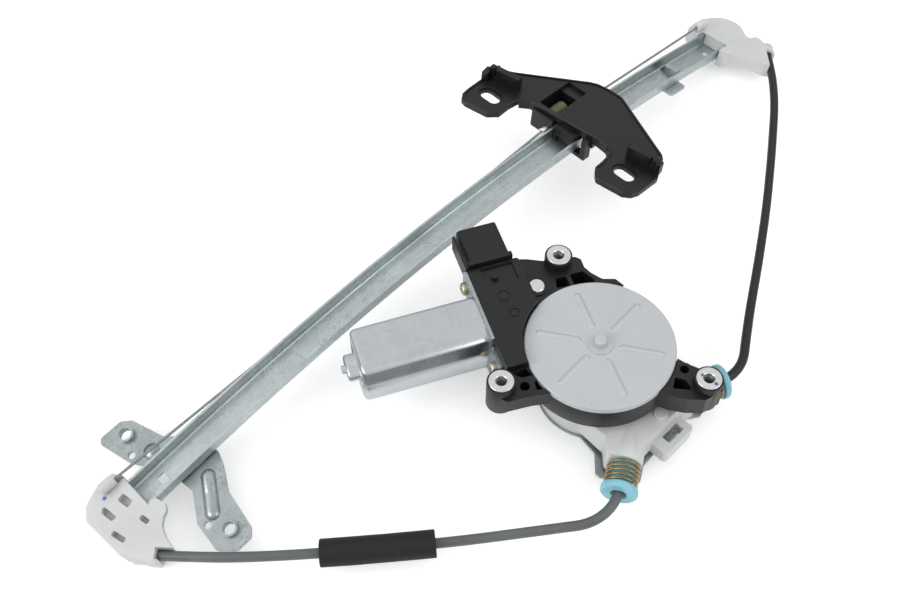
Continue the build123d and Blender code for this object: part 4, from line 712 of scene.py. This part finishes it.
# --------------------------------------------------------------------------- stage
WHITE = (1.0, 1.0, 1.0)
BLACK = (0.0, 0.0, 0.0)
FLOOR_GAP = 0.0002         # from the part's lowest point to the floor
FLOOR_HALF = 6.0           # half the floor's width
FLOOR_GLOW = 0.30          # added where the camera sees the floor
MIRRORED_GLOW = 0.10       # added where a piece mirrors the table
ROOM_SHADE = 0.85          # how much of the floor's mirrored colour goes beyond the table
SKY_FROM = 0.08            # heights, as the sine of the angle, between which the light
SKY_TO = 0.62              # from the sides turns into the light from above
SKY_UNEVEN = (0.86, 1.12)
SENSOR = 36.0              # width of the camera's sensor, in millimetres
NEAREST = 0.01             # from the camera to the nearest thing it shows
KEY_PLACE = (-0.40, -1.00, 0.62)
KEY_SIZE = (0.8, 0.5)
FILL_PLACE = (0.75, 0.35, 0.60)
FILL_SIZE = (0.6, 0.5)


def make_floor(studio):
    """Wide floor just under the part; seen directly it shows as its colour, and it keeps
    the part's shadow. What mirrors it sees a white table with a dark room beyond."""
    low = CAD_BOX[0][2] - FLOOR_GAP
    half = FLOOR_HALF
    mesh = bpy.data.meshes.new("floor")
    corners = [(-half, -half, low), (half, -half, low), (half, half, low), (-half, half, low)]
    mesh.from_pydata(corners, [], [(0, 1, 2, 3)])
    material, tree, shader, where = start_material("floor")
    shader.inputs["Roughness"].default_value = 1.0
    shader.inputs["Specular IOR Level"].default_value = 0.0
    rays = tree.nodes.new("ShaderNodeLightPath").outputs
    away = add(tree, "ShaderNodeVectorMath", operation="LENGTH")
    tree.links.new(where, away.inputs[0])
    far = span(tree, away.outputs["Value"], studio.table, studio.table * 2)
    dimmed = times(tree, times(tree, far, rays["Is Glossy Ray"]), ROOM_SHADE)
    feed(tree, mix(tree, dimmed, tuple(studio.floor), BLACK), "Base Color", shader)
    mirrored = math_node(tree, "MAXIMUM", rays["Is Glossy Ray"], rays["Is Transmission Ray"])
    glow = times(tree, mirrored, math_node(tree, "SUBTRACT", 1.0, dimmed))
    seen = math_node(tree, "ADD", times(tree, rays["Is Camera Ray"], FLOOR_GLOW),
                     times(tree, glow, MIRRORED_GLOW))
    shader.inputs["Emission Color"].default_value = (*WHITE, 1.0)
    feed(tree, seen, "Emission Strength", shader)
    mesh.materials.append(material)
    add_object("floor", mesh)


def make_world(studio):
    """Light from all round, full above and weak near the horizon, where the sides of
    bright steel mirror it as a dark band; the background is white."""
    world = bpy.data.worlds.new("studio")
    bpy.context.scene.world = world
    world.use_nodes = True
    tree = world.node_tree
    back = tree.nodes["Background"]
    where = tree.nodes.new("ShaderNodeTexCoord").outputs["Generated"]
    apart = tree.nodes.new("ShaderNodeSeparateXYZ")
    tree.links.new(where, apart.inputs[0])
    height = span(tree, apart.outputs["Z"], SKY_FROM, SKY_TO, studio.horizon, studio.sky)
    slow = add(tree, "ShaderNodeTexNoise", Scale=1.7, Detail=1.0)
    feed(tree, where, "Vector", slow)
    light = times(tree, height, span(tree, slow.outputs[0], 0.3, 0.7, *SKY_UNEVEN))
    seen = tree.nodes.new("ShaderNodeLightPath").outputs["Is Camera Ray"]
    feed(tree, math_node(tree, "MAXIMUM", seen, light), "Strength", back)
    back.inputs["Color"].default_value = (*WHITE, 1.0)


def make_lamp(name, where, size, power):
    """Rectangular lamp that faces the middle of the part."""
    lamp = bpy.data.lights.new(name, "AREA")
    lamp.shape = "RECTANGLE"
    lamp.size, lamp.size_y = size
    lamp.energy = power
    obj = add_object(name, lamp)
    middle = [(low + high) / 2 for low, high in zip(*CAD_BOX)]
    look = np.array(middle, float) - np.array(where, float)
    flat = math.hypot(look[0], look[1])
    obj.location = where
    obj.rotation_euler = (math.atan2(flat, -look[2]), 0.0, math.atan2(look[1], look[0]) - math.pi / 2)


def make_camera(studio):
    data = bpy.data.cameras.new("camera")
    data.sensor_width = SENSOR
    data.lens = studio.focal
    data.clip_start = NEAREST
    camera = add_object("camera", data)
    camera.location = studio.eye
    camera.rotation_euler = (math.pi / 2 - studio.elevation, 0.0, studio.azimuth)
    bpy.context.scene.camera = camera


class REG_OT_stage(bpy.types.Operator):
    """Makes the floor, the world, the lamps and the camera"""
    bl_idname = "regulator.stage"
    bl_label = "Stage"

    def execute(self, context):
        studio = context.scene.regulator_studio
        context.scene.view_settings.view_transform = "Standard"
        make_floor(studio)
        make_world(studio)
        make_lamp("key", KEY_PLACE, KEY_SIZE, studio.key)
        make_lamp("fill", FILL_PLACE, FILL_SIZE, studio.fill)
        make_camera(studio)
        return {"FINISHED"}


# ------------------------------------------------------------------------ finishes
MOTOR_TURN = math.radians(63.4 + 90)          # direction of the motor's own axis
# rounding of edges
SMALL_EDGE = 0.00012
SHEET_EDGE = 0.00022
CAN_EDGE = 0.0002
COVER_EDGE = 0.0002
CARRIER_EDGE = 0.0002
SLEEVE_EDGE = 0.0003
CASE_EDGE = 0.0003
HOUSING_EDGE = 0.0004
CARRIER_ANGLE = 50         # degrees; edges of the carrier that turn by less stay sharp
# how much lighter or darker than the shared colour a piece is; the darkening of the stop, the threads and the
# lower housing is painted shade
RAIL_SHADE = 1.12
SHEET_SHADE = 0.86
STOP_PAINTED_SHADE = 0.34
THREAD_PAINTED_SHADE = 0.6
LOWER_HOUSING_PAINTED_SHADE = 0.9
# heights on the can, as shares of its own, between which the lean of its sides grows
CAN_LEAN_FROM = 0.2
CAN_LEAN_TO = 0.6
# colours of the inner pieces and of the buffer
INNER_STEEL = (0.2, 0.2, 0.2)
COPPER = (0.6, 0.28, 0.14)
TINNED_BRASS = (0.62, 0.60, 0.54)
OLIVE_BUFFER = (0.12, 0.12, 0.05)
# marker dabs: on the insert farthest from the rail, as steps in X and Y from its middle with
# a radius, and on the lower guide housing, as a place with a radius
INSERT_DABS = ((0.0041, -0.0002, 0.0011), (-0.0033, -0.0009, 0.0009))
HOUSING_DAB = ((-0.1184, -0.2076, -0.0394), 0.0013)


class REG_OT_sheet_steel(bpy.types.Operator):
    """Finishes the rail, the bracket and the plates in zinc"""
    bl_idname = "regulator.sheet_steel"
    bl_label = "Sheet steel"

    def execute(self, context):
        zinc = tuple(context.scene.regulator_finishes.zinc)
        rail = metal("rail_zinc", shade(zinc, RAIL_SHADE), rough=0.40, spread=0.09,
                     stretch=(420.0, 9.0, 420.0), marks=0.30, scratch=0.12, tone=0.13, stain=0.55)
        finish(("guide_rail",), rail)
        plate = metal("sheet_zinc", shade(zinc, SHEET_SHADE), rough=0.40, spread=0.10,
                      stretch=(500.0, 60.0, 500.0), marks=0.18, scratch=0.08, stain=0.65)
        finish(("lower_bracket", "back_plate", "flange_plate"), plate, SHEET_EDGE)
        return {"FINISHED"}


class REG_OT_motor_steel(bpy.types.Operator):
    """Finishes the motor's can, the gear cover and its centre pin"""
    bl_idname = "regulator.motor_steel"
    bl_label = "Can and cover"

    def execute(self, context):
        colours = context.scene.regulator_finishes
        low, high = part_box("motor_can")
        tall = high[2] - low[2]
        crown = (low[2] + CAN_LEAN_FROM * tall, low[2] + CAN_LEAN_TO * tall, colours.can_lean)
        can = metal("can_zinc", tuple(colours.can), rough=0.25, spread=0.04, stretch=(8.0, 170.0, 170.0),
                    marks=0.08, scratch=0.10, tone=0.06, grain=0.07, turn=MOTOR_TURN, stain=0.12, crown=crown)
        finish(("motor_can",), can, CAN_EDGE)
        grey = coating("cover_grey", tuple(colours.cover), rough=0.50, specks=0.25)
        finish(("gear_cover", "centre_pin"), grey, COVER_EDGE)
        return {"FINISHED"}


class REG_OT_small_steel(bpy.types.Operator):
    """Finishes the inserts, the rivet, the end bearing, the screws, the springs and the cable ends"""
    bl_idname = "regulator.small_steel"
    bl_label = "Small steel"

    def execute(self, context):
        colours = context.scene.regulator_finishes
        far = max(mount["pos_m"] for mount in INSERTS)
        dabs = [((far[0] + x, far[1] + y, 0.0), radius) for x, y, radius in INSERT_DABS]
        bright = metal("bright_steel", tuple(colours.bright), rough=0.26, spread=0.05,
                       stretch=(200.0, 200.0, 200.0), scratch=0.15, tone=0.06, marks=0.05, grain=0.1,
                       dabs=dabs, ink=tuple(colours.ink))
        finish(("threaded_inserts", "case_rivet", "end_bearing", "lower_cable_end", "upper_cable_end"),
               bright, SMALL_EDGE)
        yellow = metal("yellow_zinc", tuple(colours.yellow), rough=0.30, spread=0.07,
                       stretch=(300.0, 300.0, 300.0))
        finish(("flange_screws",), yellow, SMALL_EDGE)
        wire = metal("spring_wire", tuple(colours.wire), rough=0.34, spread=0.08,
                     stretch=(400.0, 400.0, 400.0), tone=0.3)
        finish(("lower_adjuster_spring", "upper_adjuster_spring"), wire)
        return {"FINISHED"}


class REG_OT_inside(bpy.types.Operator):
    """Finishes what is inside the motor, the drum's housing and the connector"""
    bl_idname = "regulator.inside"
    bl_label = "Inner parts"

    def execute(self, context):
        even = (300.0, 300.0, 300.0)
        dark = metal("dark_steel", INNER_STEEL, rough=0.4, spread=0.08, stretch=even)
        finish(("armature_shaft", "armature_core", "output_shaft", "drive_plate", "motor_magnets",
                "motor_brushes", "cable_turns"), dark)
        copper = metal("copper", COPPER, rough=0.35, spread=0.08, stretch=even)
        finish(("armature_windings", "commutator"), copper)
        tin = metal("tinned_brass", TINNED_BRASS, rough=0.3, spread=0.07, stretch=even)
        finish(("connector_terminals",), tin)
        return {"FINISHED"}


class REG_OT_white_plastic(bpy.types.Operator):
    """Finishes the housings, the drum and the worm wheel in natural plastic"""
    bl_idname = "regulator.white_plastic"
    bl_label = "White plastic"

    def execute(self, context):
        colours = context.scene.regulator_finishes
        base = tuple(colours.acetal)
        moulded = {"rough": 0.42, "grain": 0.14, "tone": 0.04, "glow": 0.30}
        # painted shade: the lower guide housing is the same natural plastic made darker than the upper one;
        # its ink dab is a real mark
        marked_and_painted_shade = plastic("marked_acetal", shade(base, LOWER_HOUSING_PAINTED_SHADE), dabs=[HOUSING_DAB],
                         ink=tuple(colours.ink), **moulded)
        finish(("lower_guide_housing",), marked_and_painted_shade, HOUSING_EDGE)
        plain = plastic("natural_acetal", base, **moulded)
        finish(("upper_guide_housing", "drum_housing"), plain, HOUSING_EDGE)
        finish(("cable_drum", "worm_wheel"), plain)
        return {"FINISHED"}


class REG_OT_black_plastic(bpy.types.Operator):
    """Finishes the gear case, the carrier, the connector and the inner black parts"""
    bl_idname = "regulator.black_plastic"
    bl_label = "Black plastic"

    def execute(self, context):
        black = plastic("black_nylon", tuple(context.scene.regulator_finishes.black), rough=0.40, grain=0.18,
                        specks=0.06, tone=0.25, shine=0.42)
        finish(("gear_case", "connector_shroud"), black, CASE_EDGE)
        finish(("carrier_bracket",), black, CARRIER_EDGE, angle=CARRIER_ANGLE)
        finish(("slide_shoe", "brush_holder", "wheel_damper"), black)
        return {"FINISHED"}


class REG_OT_small_plastic(bpy.types.Operator):
    """Finishes the adjuster sleeves, the buffer and the conduits"""
    bl_idname = "regulator.small_plastic"
    bl_label = "Sleeves and conduits"

    def execute(self, context):
        colours = context.scene.regulator_finishes
        blue = plastic("blue_acetal", tuple(colours.blue), rough=0.35, grain=0.12, glow=0.3)
        finish(("lower_adjuster_sleeve", "upper_adjuster_sleeve"), blue, SLEEVE_EDGE)
        finish(("cable_buffer",), plastic("olive_buffer", OLIVE_BUFFER, rough=0.5))
        grey = plastic("grey_conduit", tuple(colours.grey_tube), rough=0.38, grain=0.1, tone=0.15)
        finish(("lower_conduit",), grey)
        dark = plastic("black_conduit", tuple(colours.black_tube), rough=0.36, grain=0.1, specks=0.2,
                       shine=0.42)
        finish(("upper_conduit",), dark)
        return {"FINISHED"}


# -------------------------------------------------------------------------- pieces
# ends of the visible cables, at the guide housing and at the carrier
CABLE_RUNS = {
    "lower_cable_run": ((-0.121, -0.19939, -0.03537), (-0.121, 0.09245, -0.01936)),
    "upper_cable_run": ((-0.121, 0.23417, -0.03274), (-0.121, 0.13516, -0.02215)),
}
# axis of the far end of the bracket's pressed bead, and the direction out of the bracket
BEAD_LINE = ((-0.08646, -0.17087, -0.04264), (-0.07850, -0.17596, -0.04361))
BEAD_UP = (0.0, -0.18701, 0.98236)
# middle of the rail's stop on the rail's floor, and the direction out of the rail there
STOP_MIDDLE = (-0.109, 0.19547, -0.03567)
STOP_UP = (0.0, 0.17143, 0.98520)
# start, middle and end of the rubber tube on the lower conduit
TUBE_LINE = ((-0.02806, -0.15458, -0.04033), (-0.01096, -0.13467, -0.04003), (0.00581, -0.11448, -0.03955))


class REG_OT_cables(bpy.types.Operator):
    """Makes the two visible cables as twisted wire rope"""
    bl_idname = "regulator.cables"
    bl_label = "Cables"

    def execute(self, context):
        cables = context.scene.regulator_cables
        steel = metal("rope_steel", tuple(context.scene.regulator_finishes.rope), rough=0.34, spread=0.08,
                      stretch=(400.0, 400.0, 400.0))
        for node, (guide, carrier) in CABLE_RUNS.items():
            parts = wire_rope(guide, carrier, cables.rope, cables.strands, cables.lay)
            rope = make_object(node.replace("_run", "_rope"), parts, steel)
            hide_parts(node)
            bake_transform(rope)
        return {"FINISHED"}


class REG_OT_threads(bpy.types.Operator):
    """Makes the thread that shows in each fixing insert, in bright steel darkened as painted shade in the
    bore
    """
    bl_idname = "regulator.threads"
    bl_label = "Threads"

    def execute(self, context):
        details = context.scene.regulator_details
        # painted shade: the thread is the inserts' bright steel darkened to stand for the shade inside the
        # bore
        bore_painted_shade = shade(context.scene.regulator_finishes.bright, THREAD_PAINTED_SHADE)
        steel = metal("thread_steel_painted_shade", bore_painted_shade, rough=0.30, spread=0.07, stretch=(300.0, 300.0, 300.0))
        for mount in INSERTS:
            top = mount["pos_m"][2] + mount["dims"]["length_mm"] * MM / 2
            wall = thread(mount["pos_m"], top, mount["dims"]["r_mm"] * MM, details)
            piece = make_object(mount["name"] + "_thread", wall, steel)
            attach(piece, "frame")
        return {"FINISHED"}


class REG_OT_bead(bpy.types.Operator):
    """Makes the far end of the pressed bead in the lower bracket"""
    bl_idname = "regulator.bead"
    bl_label = "Bracket bead"

    def execute(self, context):
        parts = bead_end(*BEAD_LINE, BEAD_UP, context.scene.regulator_details)
        piece = make_object("bracket_bead", parts, bpy.data.materials["sheet_zinc"])
        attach(piece, "frame")
        return {"FINISHED"}


class REG_OT_stop(bpy.types.Operator):
    """Makes the flanks of the stop near the rail's upper end, in zinc darkened as painted shade"""
    bl_idname = "regulator.stop"
    bl_label = "Rail stop"

    def execute(self, context):
        # painted shade: the flanks' zinc is darkened to stand for the shade they lie in
        zinc = shade(context.scene.regulator_finishes.zinc, STOP_PAINTED_SHADE)
        wear_and_painted_shade = metal("stop_zinc_painted_shade", zinc, rough=0.45, spread=0.09, stretch=(420.0, 420.0, 420.0), marks=0.30,
                     scratch=0.12, stain=0.6)
        parts = stop_flanks(STOP_MIDDLE, STOP_UP, context.scene.regulator_details)
        piece = make_object("stop_flanks", parts, wear_and_painted_shade)
        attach(piece, "frame")
        return {"FINISHED"}


class REG_OT_rubber(bpy.types.Operator):
    """Makes the rubber tube on the lower conduit"""
    bl_idname = "regulator.rubber"
    bl_label = "Rubber tube"

    def execute(self, context):
        rubber = plastic("rubber", tuple(context.scene.regulator_finishes.rubber), rough=0.62, grain=0.6,
                         specks=0.12, shine=0.35)
        parts = rubber_tube(*TUBE_LINE, context.scene.regulator_details)
        piece = make_object("rubber_tube", parts, rubber)
        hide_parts("conduit_sleeve")
        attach(piece, "frame")
        return {"FINISHED"}


GROUPS = {
    "regulator_studio": REG_PG_studio,
    "regulator_finishes": REG_PG_finishes,
    "regulator_cables": REG_PG_cables,
    "regulator_details": REG_PG_details,
}
OPERATORS = (REG_OT_stage, REG_OT_sheet_steel, REG_OT_motor_steel, REG_OT_small_steel, REG_OT_inside,
             REG_OT_white_plastic, REG_OT_black_plastic, REG_OT_small_plastic, REG_OT_cables,
             REG_OT_threads, REG_OT_bead, REG_OT_stop, REG_OT_rubber)


class REG_PT_panel(bpy.types.Panel):
    bl_idname = "REG_PT_panel"
    bl_label = "Regulator"
    bl_space_type = "VIEW_3D"
    bl_region_type = "UI"
    bl_category = "Regulator"

    def draw(self, context):
        for name, properties in GROUPS.items():
            box = self.layout.box()
            box.label(text=name.split("_")[1].capitalize())
            for key in properties.__annotations__:
                box.prop(getattr(context.scene, name), key)
        for operator in OPERATORS:
            self.layout.operator(operator.bl_idname)


CLASSES = (*GROUPS.values(), *OPERATORS, REG_PT_panel)


def register():
    for item in CLASSES:
        bpy.utils.register_class(item)
    for name, properties in GROUPS.items():
        setattr(bpy.types.Scene, name, PointerProperty(type=properties))


def unregister():
    for name in reversed(GROUPS):
        delattr(bpy.types.Scene, name)
    for item in reversed(CLASSES):
        bpy.utils.unregister_class(item)


def main():
    register()
    for make_effect in EFFECTS:
        make_effect()
    for operator in OPERATORS:
        getattr(bpy.ops.regulator, operator.bl_idname.split(".")[1])()


if __name__ == "__main__":
    main()
